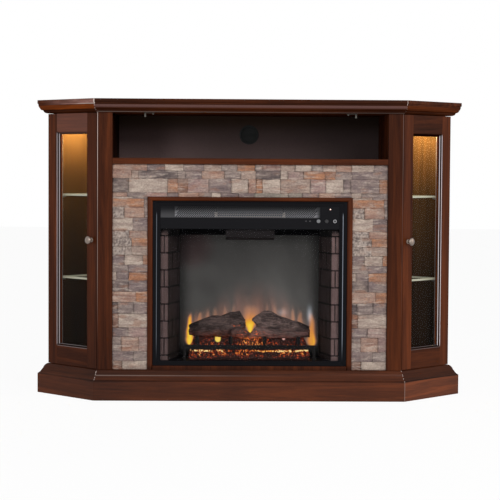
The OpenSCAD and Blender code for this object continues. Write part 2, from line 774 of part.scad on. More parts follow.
// Brick side wall: a pilaster that faces the room and a wall that runs back to the screen
module brick_liners() color("#6d5f5e") pair() difference() {
    plate([[window_half, case_y], [window_half - pilaster_w, case_y],
        [screen_half, screen_y], [screen_half + liner_t, screen_y],
        [window_half - pilaster_w + liner_t, case_y + pilaster_t],
        [window_half, case_y + pilaster_t]], floor_z, deck_z);
    for (z = [deck_z - 26:-brick_pitch:floor_z + 5])
        translate([window_half - pilaster_w - 2, case_y - eps, z - 1])
            cube([pilaster_w + 2 + eps, eps + 2, 2]);
}

module flame_screen() color("#77777770")
    translate([-screen_half, screen_y - 2, floor_z]) cube([2 * screen_half, 2, screen_h]);

// Rough round bar between two points, flat underneath where it lies on the embers:
// rings of 10 points whose radius wavers
log_rest = floor_z + ember_h;
function log_ring(t, a, b, r0, r1, seed) = let (
    d = (b - a) / norm(b - a), n = cross(d, [0, 1, 0]) / norm(cross(d, [0, 1, 0])),
    m = cross(d, n), c = a + (b - a) * t + [0, 0, 1] * 5 * sin(180 * t + seed * 40),
    r = r0 + (r1 - r0) * t)
    [for (k = [0:9]) let (q = r * (0.86 + 0.26 * hash(k + seed, round(t * 10))),
        p = c + q * (cos(36 * k) * m + sin(36 * k) * n)) [p[0], p[1], max(p[2], log_rest)]];

module fire_log(a, b, r0, r1, seed) {
    rings = 9;
    pts = [for (i = [0:rings]) each log_ring(i / rings, a, b, r0, r1, seed)];
    sides = [for (i = [0:rings - 1]) for (k = [0:9])
        each [[i * 10 + k, i * 10 + (k + 1) % 10, i * 10 + 10 + k],
        [i * 10 + (k + 1) % 10, i * 10 + 10 + (k + 1) % 10, i * 10 + 10 + k]]];
    caps = [[for (k = [0:9]) 9 - k], [for (k = [0:9]) rings * 10 + k]];
    polyhedron(points = pts, faces = concat(sides, caps));
}

module fire_logs() color("#4a3c36") {
    x = ember_half;
    y = ember_y + 50;
    fire_log([2 - x, y, log_rest + 14], [-0.108 * x, y + 4, log_rest + 54], 19, 27, 1);
    fire_log([x - 2, y, log_rest + 14], [0.108 * x, y + 4, log_rest + 54], 24, 27, 4);
    fire_log([-0.3 * x, y - 33, log_rest + 12], [0.44 * x, y - 31, log_rest + 9], 13.5, 14, 7);
}

// Moulded bed of embers: a steep lumpy front under a flat rest for the logs.
// Each line of the profile is a distance from the front and a share of the height
ember_profile = [[0, 0.1], [4, 0.42], [9, 0.74], [16, 1], [78, 1]];
ember_nx = 36;
ember_ny = len(ember_profile) - 1;
function ember_at(i, j, z) = [(2 * i / ember_nx - 1) * ember_half,
    ember_y + ember_profile[j][0], floor_z + z];
function ember_up(i, j) = ember_h * ember_profile[j][1]
    * (j < 3 ? 0.8 + 0.35 * hash(i, j) : 1);
function id(i, j) = j * (ember_nx + 1) + i;
module ember_bed() color("#7a2c14") {
    nx = ember_nx;
    ny = ember_ny;
    n = (nx + 1) * (ny + 1);
    top = [for (j = [0:ny]) for (i = [0:nx]) ember_at(i, j, ember_up(i, j))];
    low = [for (j = [0:ny]) for (i = [0:nx]) ember_at(i, j, 0)];
    cells = [for (j = [0:ny - 1]) for (i = [0:nx - 1]) each [
        [id(i, j), id(i, j + 1), id(i + 1, j)],
        [id(i + 1, j), id(i, j + 1), id(i + 1, j + 1)]]];
    front = [for (i = [0:nx - 1]) [id(i, 0), id(i + 1, 0), n + id(i + 1, 0), n + id(i, 0)]];
    back = [for (i = [0:nx - 1]) [id(i + 1, ny), id(i, ny), n + id(i, ny), n + id(i + 1, ny)]];
    ends = [for (j = [0:ny - 1]) each [[id(0, j + 1), id(0, j), n + id(0, j), n + id(0, j + 1)],
        [id(nx, j), id(nx, j + 1), n + id(nx, j + 1), n + id(nx, j)]]];
    under = [for (j = [0:ny - 1]) for (i = [0:nx - 1])
        [n + id(i, j), n + id(i + 1, j), n + id(i + 1, j + 1), n + id(i, j + 1)]];
    polyhedron(points = concat(top, low), faces = concat(cells, front, back, ends, under));
}

// Cast bar on two feet, with four round finials
module fire_grate() color("#1d1b1b") union() {
    translate([-bar_half, bar_y - bar_t, floor_z + bar_up])
        cube([2 * bar_half, bar_t, bar_h]);
    for (x = [-bar_half, bar_half - 8])
        translate([x, bar_y - bar_t, floor_z]) cube([8, bar_t, bar_up + 2]);
    for (k = [0:3]) translate([(k - 1.5) * finial_pitch - 5, bar_y - bar_t / 2,
        floor_z + bar_up + bar_h - 2])
        rotate_extrude($fn = 24) polygon([[0, 0], [2.4, 0], [2.4, 4], [6.5, 7],
            [7, finial_h - 4], [5, finial_h], [0, finial_h + 1]]);
}

module flame_lamps() color("#e8e0c8") for (x = [-flame_lamp_x, flame_lamp_x])
    translate([x, screen_y + 14, fire_z + sheet_t + 22]) {
        translate([-20, -12, -22]) cube([40, 30, 12]);
        translate([0, 3, -10]) rotate_extrude($fn = 32)
            polygon([[0, 0], [8, 0], [8, 12], [14, 24], [15, 32], [11, 41], [0, 45]]);
    }

// Rod with reflectors set round it in turn
module flame_rod() color("#b9bcc0") translate([0, rod_y, rod_z]) rotate([0, 90, 0]) union() {
    translate([0, 0, -rod_half]) cylinder(r = rod_r, h = 2 * rod_half + 12, $fn = 32);
    for (k = [0:reflectors - 1])
        translate([0, 0, (k - (reflectors - 1) / 2) * 2 * (rod_half - 22) / (reflectors - 1)])
            rotate([0, 0, k * 70]) translate([rod_r - 1, -0.4, -9]) cube([12, 0.8, 18]);
}

module rod_motor() color("#8c8a84") {
    translate([rod_half + 12, rod_y, rod_z]) rotate([0, 90, 0]) cylinder(r = 18, h = 22, $fn = 48);
    translate([rod_half + 14, rod_y - 14, fire_z + sheet_t])
        cube([18, 28, rod_z - 17.4 - fire_z - sheet_t]);
    difference() {
        translate([-rod_half - 3, rod_y - 10, fire_z + sheet_t])
            cube([3, 20, rod_z + 10 - fire_z - sheet_t]);
        translate([-rod_half - 4, rod_y, rod_z]) rotate([0, 90, 0])
            cylinder(r = rod_r + 0.05, h = 5, $fn = 32);
    }
}

// Cross-flow wheel: two end discs, a shaft and a ring of blades
module blower_wheel() color("#a7a9ad") translate([0, blower_y, blower_z]) rotate([0, 90, 0]) union() {
    for (z = [-blower_l / 2, blower_l / 2 - 1.5])
        translate([0, 0, z]) cylinder(r = blower_r, h = 1.5, $fn = 48);
    translate([0, 0, -blower_l / 2 - 8]) cylinder(r = 3, h = blower_l + 16, $fn = 32);
    for (k = [0:blower_blades - 1]) rotate([0, 0, k * 360 / blower_blades])
        translate([blower_r - 8, 0, -blower_l / 2 + 0.5]) rotate([0, 0, 35])
            translate([0, -0.5, 0]) cube([7, 1, blower_l - 1]);
}

// Motor at one end of the wheel, bearing plate at the other, and the scroll behind
module blower_motor() color("#77726c") translate([0, blower_y, blower_z]) {
    hub = blower_l / 2 + 8;
    foot = deck_z + sheet_t - blower_z;
    translate([hub, 0, 0]) rotate([0, 90, 0]) cylinder(r = 20, h = 34, $fn = 48);
    translate([hub + 4, -12, foot]) cube([26, 24, -foot - 19]);
    difference() {
        translate([-hub, -24, foot]) cube([3, 48, -foot + 14]);
        translate([-hub - 1, 0, 0]) rotate([0, 90, 0]) cylinder(r = 3.05, h = 5, $fn = 32);
    }
    rotate([90, 0, 90]) translate([0, 0, -blower_l / 2]) linear_extrude(blower_l)
        polygon([[blower_r + 3, foot], [blower_r + 5, foot], [blower_r + 5, 18],
            [blower_r - 3, 24], [blower_r - 4, 22.5], [blower_r + 3, 17]]);
}

// Fin block in front of the wheel, on two ceramic ends
module heating_element() color("#a08c78") {
    x = blower_l / 2;
    z = deck_z + sheet_t;
    for (s = [-x - 8, x]) translate([s, case_y + 24, z]) cube([8, 20, 44]);
    for (k = [0:4]) translate([-x, case_y + 30, z + 6 + k * 8]) cube([2 * x, 8, 2]);
}

// Door parts in the right wing's frame
module sash_mitre(points) {
    translate([0, overhang + door_t + eps, 0]) rotate([90, 0, 0])
        linear_extrude(door_t + 2 * eps) polygon(points);
}

module sash_upright(outline, m) {
    for (s = [0, 1]) intersection() {
        translate([s == 0 ? sash_u0 : sash_u1, 0, sash_z0 - eps]) mirror([s, 0, 0])
            linear_extrude(sash_z1 - sash_z0 + 2 * eps) polygon(outline);
        u = s == 0 ? sash_u0 : sash_u1;
        d = s == 0 ? 1 : -1;
        sash_mitre([[u - d * m, sash_z0 - m], [u + d * 20, sash_z0 + 20],
            [u + d * 20, sash_z1 - 20], [u - d * m, sash_z1 + m]]);
    }
}

module sash_level(outline, m) {
    for (s = [0, 1]) intersection() {
        translate([sash_u0 - eps, 0, s == 0 ? sash_z0 : sash_z1]) mirror([0, 0, s])
            rotate([90, 0, 90]) linear_extrude(sash_u1 - sash_u0 + 2 * eps)
                polygon([for (p = outline) [p[1], p[0]]]);
        z = s == 0 ? sash_z0 : sash_z1;
        d = s == 0 ? 1 : -1;
        sash_mitre([[sash_u0 - m, z - d * m], [sash_u0 + 20, z + d * 20],
            [sash_u1 - 20, z + d * 20], [sash_u1 + m, z - d * m]]);
    }
}

module door_stiles() color(wood) wing() {
    difference() {
        union() {
            translate([door_u0, overhang, door_z0]) cube([stile_in_w, door_t, door_z1 - door_z0]);
            translate([sash_u1, overhang, door_z0]) cube([stile_out_w, door_t, door_z1 - door_z0]);
            sash_upright(sash_outline, eps);
        }
        hinge_notches();
    }
    sash_upright(bead_outline, eps);
}

module door_rails() color(wood) wing() {
    union() {
        translate([sash_u0, overhang, door_z0])
            cube([sash_u1 - sash_u0, door_t, rail_bottom_h]);
        translate([sash_u0, overhang, sash_z1]) cube([sash_u1 - sash_u0, door_t, rail_top_h]);
        sash_level(sash_outline, eps);
    }
    sash_level(bead_outline, eps);
}

module door_glass() color("#bcd0c880") wing()
    translate([sash_u0 + 0.3, sash_back, sash_z0 + 0.3])
        cube([sash_u1 - sash_u0 - 0.6, door_glass_t, sash_z1 - sash_z0 - 0.6]);

module door_hinge_leaves() color("#9a9a9c") wing()
    for (z = hinge_zs) translate([0, 0, z]) hinge_leaf(0);

module door_knob() color("#b8b2aa") wing()
    translate([knob_u, overhang, knob_z]) rotate([90, 0, 0]) rotate_extrude($fn = 48)
        polygon(concat([[0, 0], [7, 0], [6.6, 1.6], [4.6, 3.4], [4.2, 9]],
            [for (a = [-50:14:90]) [knob_r * cos(a), 15 + 6.5 * sin(a)]]));

module door_strike() color("#8a8a8c") wing()
    translate([door_u0 + 16, overhang + door_t, catch_z - 4])
        cube([20, strike_t, catch_h + 8]);

module left() { mirror([1, 0, 0]) children(); }

module left_door_stiles() left() door_stiles();
module left_door_rails() left() door_rails();
module left_door_glass() left() door_glass();
module left_door_hinge_leaves() left() door_hinge_leaves();
module left_door_knob() left() door_knob();
module left_door_strike() left() door_strike();

module right_door_stiles() door_stiles();
module right_door_rails() door_rails();
module right_door_glass() door_glass();
module right_door_hinge_leaves() door_hinge_leaves();
module right_door_knob() door_knob();
module right_door_strike() door_strike();

plinth();
base_cap();
base_board();
ceiling_board();
top_board();
crown_moulding();
door_stops();
corner_posts();
partitions();
end_panels();
back_panel_upper();
back_panel_lower();
bay_shelf();
hearth_board();
cable_grommet();
panel_catches();
firebox_trim();
stone_header();
stone_columns();
cabinet_lamps();
lamp_lenses();
glass_shelves();
shelf_pins();
magnet_catches();
hinge_fixed_leaves();
hinge_pins();
firebox_case();
firebox_frame();
firebox_glass();
control_panel();
heater_grille();
indicator_lights();
air_duct();
brick_liners();
flame_screen();
fire_logs();
ember_bed();
fire_grate();
flame_lamps();
rod_motor();
blower_motor();
heating_element();
power_button();
heater_button();
flame_button();
flame_rod();
blower_wheel();
left_door_stiles();
left_door_rails();
left_door_glass();
left_door_hinge_leaves();
left_door_knob();
left_door_strike();
right_door_stiles();
right_door_rails();
right_door_glass();
right_door_hinge_leaves();
right_door_knob();
right_door_strike();
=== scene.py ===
"""Looks of the corner fireplace: a finish for every built part, and finer surfaces for the
split stones, the bricks, the logs, the embers, the flame picture and the cable hole. Metres."""
import math

import bmesh
import bpy
import numpy as np
from mathutils import Matrix, Vector


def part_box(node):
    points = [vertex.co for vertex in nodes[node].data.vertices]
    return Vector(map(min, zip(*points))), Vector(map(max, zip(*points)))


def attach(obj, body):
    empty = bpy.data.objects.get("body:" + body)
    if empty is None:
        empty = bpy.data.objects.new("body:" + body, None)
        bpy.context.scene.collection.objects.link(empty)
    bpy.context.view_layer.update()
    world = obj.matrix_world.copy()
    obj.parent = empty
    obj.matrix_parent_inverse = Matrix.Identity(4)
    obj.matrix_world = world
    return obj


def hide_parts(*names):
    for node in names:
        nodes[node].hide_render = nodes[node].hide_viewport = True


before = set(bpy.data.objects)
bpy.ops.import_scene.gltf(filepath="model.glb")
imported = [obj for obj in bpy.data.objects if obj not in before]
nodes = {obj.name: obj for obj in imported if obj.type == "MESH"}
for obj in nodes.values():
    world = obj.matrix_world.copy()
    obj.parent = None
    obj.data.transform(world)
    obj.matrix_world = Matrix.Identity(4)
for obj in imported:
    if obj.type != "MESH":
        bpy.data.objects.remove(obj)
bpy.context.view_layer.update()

CABINET = "cabinet"

# Plan of the carcass at the crown: the front's place and half width, where the wings turn off at
# 45 degrees and the boards are mitred at half of that
CROWN_LOW, CROWN_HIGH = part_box("top_board")
FRONT_Y = CROWN_LOW[1]
FRONT_HALF = CROWN_HIGH[0] + FRONT_Y
MITRE = math.radians(22.5)

# Levels of the crown moulding's foot and top, and of the plinth's top
CEILING, SLAB = (corner[2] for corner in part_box("crown_moulding"))
PLINTH_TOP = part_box("base_cap")[0][2]


# ---------------------------------------------------------------- colours and materials

def paint(red, green, blue, strength=1.0):
    """Linear colour of a paint that is given in display values from 0 to 255."""
    values = [c / 255 for c in (red, green, blue)]
    linear = [c / 12.92 if c <= 0.04045 else ((c + 0.055) / 1.055) ** 2.4 for c in values]
    return tuple(c * strength for c in linear) + (1.0,)


def tint(*values):
    """The same colour as an array of three numbers."""
    return np.array(paint(*values)[:3])


class Wire:
    """One output socket of a node. Arithmetic on it adds the Math or Vector Math node it means."""

    def __init__(self, finish, socket):
        self.finish = finish
        self.socket = socket

    def join(self, operation, first, second=None):
        """Result of a Math node, or of a Vector Math node where a vector or colour takes part."""
        parts = [p for p in (first, second) if p is not None]
        flat = all(isinstance(p, (int, float)) or isinstance(p, Wire) and p.socket.type == "VALUE"
                   for p in parts)
        kind = "Math" if flat else "VectorMath"
        return self.finish.node(kind, {"operation": operation}, dict(enumerate(parts)))

    def __add__(self, other):
        return self.join("ADD", self, other)

    def __radd__(self, other):
        return self.join("ADD", other, self)

    def __sub__(self, other):
        return self.join("SUBTRACT", self, other)

    def __rsub__(self, other):
        return self.join("SUBTRACT", other, self)

    def __mul__(self, other):
        return self.join("MULTIPLY", self, other)

    def __rmul__(self, other):
        return self.join("MULTIPLY", other, self)

    def __truediv__(self, other):
        return self.join("DIVIDE", self, other)

    def __abs__(self):
        return self.join("ABSOLUTE", self)

    def above(self, edge):
        """1 where the value is above the edge, and otherwise 0."""
        return self.join("GREATER_THAN", self, edge)

    def below(self, edge):
        """1 where the value is below the edge, and otherwise 0."""
        return self.join("LESS_THAN", self, edge)

    def larger(self, other):
        """The larger of two values."""
        return self.join("MAXIMUM", self, other)

    def fade(self, low, high):
        """Smooth step from 0 at low to 1 at high, or from 1 down to 0 where high is below low."""
        ends = (low, high, 0.0, 1.0) if low < high else (high, low, 1.0, 0.0)
        sockets = ("From Min", "From Max", "To Min", "To Max")
        return self.finish.node("MapRange", {"interpolation_type": "SMOOTHSTEP"},
                                {"Value": self, **dict(zip(sockets, ends))})


class Finish:
    """A node material. node() adds any node, and the other methods are short names for it."""

    def __init__(self, name):
        self.material = bpy.data.materials.new(name)
        self.material.use_nodes = True
        self.tree = self.material.node_tree
        self.tree.nodes.clear()

    def node(self, kind, settings=None, inputs=None, out=0):
        """Adds a node of that type: its settings first, then its inputs' values or links."""
        made = self.tree.nodes.new("ShaderNode" + kind)
        for key, value in (settings or {}).items():
            if key == "stops":
                while len(made.color_ramp.elements) < len(value):
                    made.color_ramp.elements.new(1.0)
                for element, (position, colour) in zip(made.color_ramp.elements, value):
                    element.position = position
                    element.color = colour
            else:
                setattr(made, key, value)
        for key, value in (inputs or {}).items():
            if isinstance(value, Wire):
                self.tree.links.new(value.socket, made.inputs[key])
            else:
                made.inputs[key].default_value = value
        return Wire(self, made.outputs[out])

    def place(self):
        """Object coordinates, in metres."""
        return self.node("TexCoord", out="Object")

    def along(self, axis):
        """One of the Object coordinates: X, Y or Z."""
        return self.node("SeparateXYZ", inputs={0: self.place()}, out=axis)

    def facing(self, axis):
        """How far the surface looks along X, Y or Z: 1 along it and -1 against it."""
        normal = self.node("NewGeometry", out="Normal")
        return self.node("SeparateXYZ", inputs={0: normal}, out=axis)

    def from_mitre(self):
        """Distance from the upright plane in which the front meets a wing, above 0 on the wing."""
        x = abs(self.along("X")) - FRONT_HALF
        y = self.along("Y") - FRONT_Y
        return (x + y * math.tan(MITRE)) * math.cos(MITRE)

    def along_wing(self):
        """Distance along a wing's face from the crown's front corner."""
        x = abs(self.along("X")) - FRONT_HALF
        y = self.along("Y") - FRONT_Y
        return (x + y) * math.sqrt(0.5)

    def left_half(self):
        """1 on the left half of the cabinet and 0 on the right half."""
        return self.along("X").below(0.0)

    def line(self, value, middle, half):
        """1 where the value is at the middle, falling to 0 at half the line's width beside it."""
        return (abs(value - middle) / half).fade(1.0, 0.4)

    def toned(self, colour, amount):
        """Colour times an amount."""
        return self.node("VectorMath", {"operation": "SCALE"}, {0: colour, "Scale": amount})

    def noise(self, scale, detail=4.0, roughness=0.55, distortion=0.0):
        """Noise from 0 to 1. Scale is per metre: one number, or one for each axis."""
        scale = scale if isinstance(scale, tuple) else (scale,) * 3
        return self.node("TexNoise", {}, {
            "Vector": self.place() * scale, "Scale": 1.0, "Detail": detail,
            "Roughness": roughness, "Distortion": distortion})

    def cells(self, scale):
        """Distance to the nearest edge of a pattern of cells. Scale is per metre, for each axis."""
        return self.node("TexVoronoi", {"feature": "DISTANCE_TO_EDGE"},
                         {"Vector": self.place() * scale, "Scale": 1.0})

    def mix(self, low, high, factor):
        """Colour from low to high by the factor."""
        return self.node("Mix", {"data_type": "RGBA"}, {0: factor, 6: low, 7: high}, out=2)

    def between(self, low, high, factor):
        """Colour from one paint to another, both in display values, by the factor."""
        return self.mix(paint(*low), paint(*high), factor)

    def varied(self, colour, low, high, factor):
        """Paint whose display values go from low to high times its own by the factor."""
        dim, bright = ([part * c for c in colour] for part in (low, high))
        return self.between(dim, bright, factor)

    def ramp(self, value, *stops):
        """Colour of a value along stops of position and paint."""
        painted = tuple((position, paint(*colour)) for position, colour in stops)
        return self.node("ValToRGB", {"stops": painted}, {0: value})

    def bump(self, height, distance, strength):
        """Normal of a surface that the height raises by up to the distance, in metres."""
        return self.node("Bump", {},
                         {"Height": height, "Distance": distance, "Strength": strength})

    def wood(self, grain, dark=(40, 17, 9), light=(112, 56, 28)):
        """Inputs of a stained board whose grain has these scales along its three axes. Its coat
        shines on all faces but those that look down."""
        streaks = self.noise(grain, detail=5.0, roughness=0.62, distortion=1.4)
        pores = self.noise(tuple(12 * g for g in grain), detail=3.0, roughness=0.7)
        clouds = self.noise((3.0, 3.0, 2.0), detail=2.0)
        tone = streaks * 0.6 + clouds * 0.3 + pores * 0.2
        middle = tuple((a + b) / 2 for a, b in zip(dark, light))
        colour = self.ramp(tone, (0.36, dark), (0.55, middle), (0.74, light))
        relief = self.bump(pores * 0.6 + streaks * 0.4, 0.00025, 0.35)
        coat = self.facing("Z").fade(-0.6, -0.1) * 0.13
        return {"Base Color": colour, "Roughness": 0.5 + pores * 0.2, "Specular IOR Level": 0.0,
                "Coat Weight": coat, "Coat Roughness": 0.22, "Normal": relief}

    def finished(self, inputs):
        """The material, made of one Principled shader with these inputs."""
        shader = self.node("BsdfPrincipled", {}, inputs)
        self.node_output(shader)
        return self.material

    def node_output(self, shader):
        """Links a shader to the material's output."""
        output = self.tree.nodes.new("ShaderNodeOutputMaterial")
        self.tree.links.new(shader.socket, output.inputs["Surface"])


# Scales of the grain, low along it: upright boards, level mouldings, and boards lying along X
UPRIGHT = (26.0, 26.0, 1.3)
LEVEL = (1.5, 1.5, 30.0)
LYING = (1.3, 26.0, 26.0)

# Painted highlights and glints, and casts of painted light on the crown, top board and left door
HIGHLIGHT_PAINT = paint(196, 178, 170)
AMBER_LIGHT = (1.42, 1.22, 0.62)
ROSY_LIGHT = paint(186, 142, 134)
ASHEN_HIGHLIGHT = paint(104, 76, 72)

# Dark and light tone of the painted lamplight inside the cabinets, and its painted dusk low down
LAMPLIT = ((62, 42, 25), (112, 80, 46))
DUSK = (0.42, 0.40, 0.66)

# Width of the moulded edge round a door's glass, how far out the partitions reach, half width of
# the bay's back, and the firebox trim's opening and the widths of its boards, along X and along Z
SASH = 0.009
PARTITION = 0.4535
BAY_HALF = 0.437
TRIM_OPENING = (0.296, 0.607)
TRIM_BOARDS = (0.0155, 0.0115)


def stained_wood(name, grain):
    """Dark cherry stain under satin varnish: broad streaks and fine pores along the grain."""
    f = Finish(name)
    return f.finished(f.wood(grain))


def post_wood():
    """The stain on the posts, with a painted highlight on the arris where the front meets a wing.
    """
    f = Finish("post_wood")
    parts = f.wood(UPRIGHT)
    z = f.along("Z")
    left = f.left_half()
    # Painted highlight along the arris, strongest high up and on the left
    wear_and_sheen = z.fade(0.50, 0.80) * 0.6 + z.fade(0.16, 0.45) * 0.36
    arris = f.line(f.from_mitre(), 0.0, 0.0013) * wear_and_sheen * (0.14 + left * 0.86)
    # Painted light: the left post lighter than the right
    colour = f.toned(parts["Base Color"], 0.68 + left * 0.16)
    parts["Base Color"] = f.mix(colour, HIGHLIGHT_PAINT, arris)
    return f.finished(parts)


def crown_wood():
    """The stain on the crown moulding in painted light: amber on the wings' slopes, an ashen
    highlight on the front's upper band and a pale one on its lowest fillet, with broken painted
    glints in the mitres."""
    f = Finish("crown_wood")
    parts = f.wood(LEVEL)
    z = f.along("Z")
    wing = f.from_mitre().above(0.0)
    left = f.left_half()
    slope = z.fade(CEILING + 0.009, CEILING + 0.012) * z.fade(SLAB + 0.0005, SLAB - 0.0025)
    band = z.fade(SLAB - 0.0125, SLAB - 0.0065) * z.fade(SLAB - 0.0005, SLAB - 0.003)
    # Painted light and shade: the front dark, the wings' slopes lit, more on the left, in amber
    # light
    front = 0.46 + slope * 0.08
    side = 0.5 + slope * (0.25 + left * 0.8)
    amber = wing * slope * (0.45 + left * 0.55)
    colour = f.mix(parts["Base Color"], parts["Base Color"] * AMBER_LIGHT, amber)
    colour = f.toned(colour, front + (side - front) * wing)
    # Painted highlight on the front's upper band
    colour = f.mix(colour, ASHEN_HIGHLIGHT, band * (1 - wing) * 0.75)
    # Painted highlight on the lowest fillet, stronger to the left
    fillet = f.line(z, CEILING + 0.0020, 0.0018) * (1 - wing)
    colour = f.mix(colour, HIGHLIGHT_PAINT, fillet * (0.10 + f.along("X").fade(0.4, -0.4) * 0.10))
    # Painted glints in the mitres, broken by noise
    width = 0.0008 + left * 0.0003
    mitre_glint = f.line(f.from_mitre(), 0.0, width) * z.above(CEILING + 0.003)
    broken = (f.noise((30.0, 30.0, 300.0), detail=1.0) + left * 0.04).fade(0.56, 0.62)
    parts["Base Color"] = f.mix(colour, HIGHLIGHT_PAINT, mitre_glint * broken)
    return f.finished(parts)


def slab_wood():
    """The stain on the top board. Its edge is toned by painted light, rosy on the left wing near
    the front, with painted glints in the mitres of its lipping and a painted highlight along the
    left wing's foot."""
    f = Finish("slab_wood")
    parts = f.wood(LYING)
    edge = f.along("Z").fade(CROWN_HIGH[2] - 0.0004, CROWN_HIGH[2] - 0.0014)
    wing = f.from_mitre().above(0.0)
    left = f.left_half()
    near = f.along_wing().fade(0.26, 0.0) * wing * left
    smoky = f.noise((9.0, 9.0, 60.0), detail=3.0).fade(0.35, 0.65)
    # Painted light on the edge: each face toned by how it is lit, rosy on the left wing near the
    # front
    tone = 0.48 + wing * (0.20 + left * 0.34)
    colour = f.toned(parts["Base Color"], 1 - edge + edge * tone)
    colour = f.mix(colour, ROSY_LIGHT, near * edge * (0.35 + smoky * 0.65))
    # Painted glints in the mitres, and a painted highlight along the left wing's foot
    mitre_glint = f.line(f.from_mitre(), 0.0, 0.0009 + left * 0.0019) * edge
    lower = f.line(f.along("Z"), SLAB + 0.0010, 0.0014) * wing * left
    lower = lower * f.along_wing().fade(0.12, 0.04)
    parts["Base Color"] = f.mix(colour, HIGHLIGHT_PAINT, mitre_glint.larger(lower))
    return f.finished(parts)


def base_wood(name):
    """The stain on the base: darker on the moulding's round, with a painted shadow line under it,
    the wings toned by painted light, a painted highlight on the front's bead, and painted glints
    in the mitres that are broken over the seam and faint under it."""
    f = Finish(name)
    parts = f.wood(LEVEL)
    z = f.along("Z")
    left = f.left_half()
    wing = f.from_mitre().above(0.0)
    # Darker above the seam, a painted shadow line at it, painted light and shade on each wing, and
    # a faint painted sheen
    tone = 1.0 - 0.3 * z.fade(PLINTH_TOP - 0.001, PLINTH_TOP + 0.004)
    tone = tone - 0.45 * f.line(z, PLINTH_TOP, 0.003)
    upper = z.above(PLINTH_TOP)
    tone = tone + wing * left * (0.14 - upper * 0.2) + wing * (1 - left) * (0.45 - upper * 0.75)
    colour = f.toned(f.mix(parts["Base Color"], HIGHLIGHT_PAINT, 0.018), tone)
    # Painted highlight on the front's bead, fading to the right
    bead = f.line(z, PLINTH_TOP + 0.0158, 0.0019) * (1 - wing)
    bead = bead * f.along("X").fade(0.2, -0.42) * 0.22
    # Painted glints in the mitres, broken above the seam and faint below it on the right
    broken = f.noise((40.0, 40.0, 300.0), detail=1.0).fade(0.5, 0.56) * upper
    plain = (1 - upper) * (1 - left) * 0.34
    mitre_glint = f.line(f.from_mitre(), 0.0, 0.0013) * (broken + plain)
    parts["Base Color"] = f.mix(colour, HIGHLIGHT_PAINT, mitre_glint.larger(bead))
    return f.finished(parts)


def sash_wood(name, node, tone_low, tone_high, lines):
    """The stain on a door's stiles or rails, with painted highlights on the two arrises of the
    moulded edge round the glass and painted shade in the hollow between them. Painted light takes
    the tone from one low on the door to one high on it."""
    f = Finish(name)
    upright = node.endswith("stiles")
    parts = f.wood(UPRIGHT if upright else LEVEL)
    z = f.along("Z")
    upper = z.fade(0.2, 0.8)
    # Painted light: the tone runs from low to high up the door
    colour = f.toned(parts["Base Color"], tone_low + upper * (tone_high - tone_low))
    low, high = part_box(node.rsplit("_", 1)[0] + "_glass")
    if upright:
        outer = max(abs(low[0]), abs(high[0])) - FRONT_HALF + high[1] - FRONT_Y
        deep = outer * math.sqrt(0.5) - f.along_wing()
        lit = z.fade(low[2], low[2] + 0.01) * z.fade(high[2], high[2] - 0.01)
        lit = lit * deep.above(-0.002) * deep.below(0.03)
    else:
        middle = (low[2] + high[2]) / 2
        deep = (high[2] - low[2]) / 2 - abs(z - middle)
        lit = z.below(middle)
    # Painted highlights on the moulding's two arrises, and painted shade in its hollow
    face = f.line(deep, 0.0011, 0.0008)
    foot = f.line(deep, SASH - 0.0018, 0.0008)
    hollow = deep.fade(0.0012, 0.0022) * deep.fade(SASH + 0.001, SASH)
    colour = f.toned(colour, 1 - hollow * 0.82)
    # Painted rosy light high on the left door's rails
    if node == "left_door_rails":
        colour = f.mix(colour, ROSY_LIGHT, upper * 0.13)
    parts["Base Color"] = f.mix(colour, paint(226, 218, 222), face.larger(foot) * lit * lines)
    return f.finished(parts)


def cabinet_side():
    """The stain on the partitions and end panels: painted shade on the bay's left face, and painted
    lamplight, paler and yellower, with painted dusk at the foot, on the faces that look into a
    cabinet."""
    f = Finish("cabinet_side_wood")
    x, z = f.along("X"), f.along("Z")
    outwards = f.facing("X") * x
    partition = abs(x).fade(PARTITION + 0.001, PARTITION - 0.001)
    inside = outwards.fade(0.0, -0.08) * (1 - partition) + outwards.fade(0.0, 0.08) * partition
    inside = inside * f.along("Y").fade(0.1605, 0.158)
    outer = f.wood(UPRIGHT)
    # Painted lamplight inside the cabinets, with painted dusk low down
    lamplit = f.wood(UPRIGHT, *LAMPLIT)["Base Color"]
    lamplit = f.mix(lamplit * DUSK, lamplit, z.fade(0.25, 0.6))
    # Painted shade on the bay's left face
    shaded = f.toned(outer["Base Color"], 1 - partition * f.left_half() * 0.8)
    outer["Base Color"] = f.mix(shaded, lamplit, inside)
    return f.finished(outer)


def trim_wood():
    """The same stain where upright and level boards meet in a mitred frame, darker at its foot."""
    f = Finish("trim_wood")
    z = f.along("Z")
    rise = (z - TRIM_OPENING[1]) / TRIM_BOARDS[1]
    reach = (abs(f.along("X")) - TRIM_OPENING[0]) / TRIM_BOARDS[0]
    outer, level = (f.wood(grain, (46, 20, 10), (116, 58, 30)) for grain in (UPRIGHT, LEVEL))
    colour = f.mix(level["Base Color"], outer["Base Color"], reach.above(rise))
    outer["Base Color"] = f.toned(colour, 0.42 + z.fade(0.095, 0.112) * 0.5)
    return f.finished(outer)


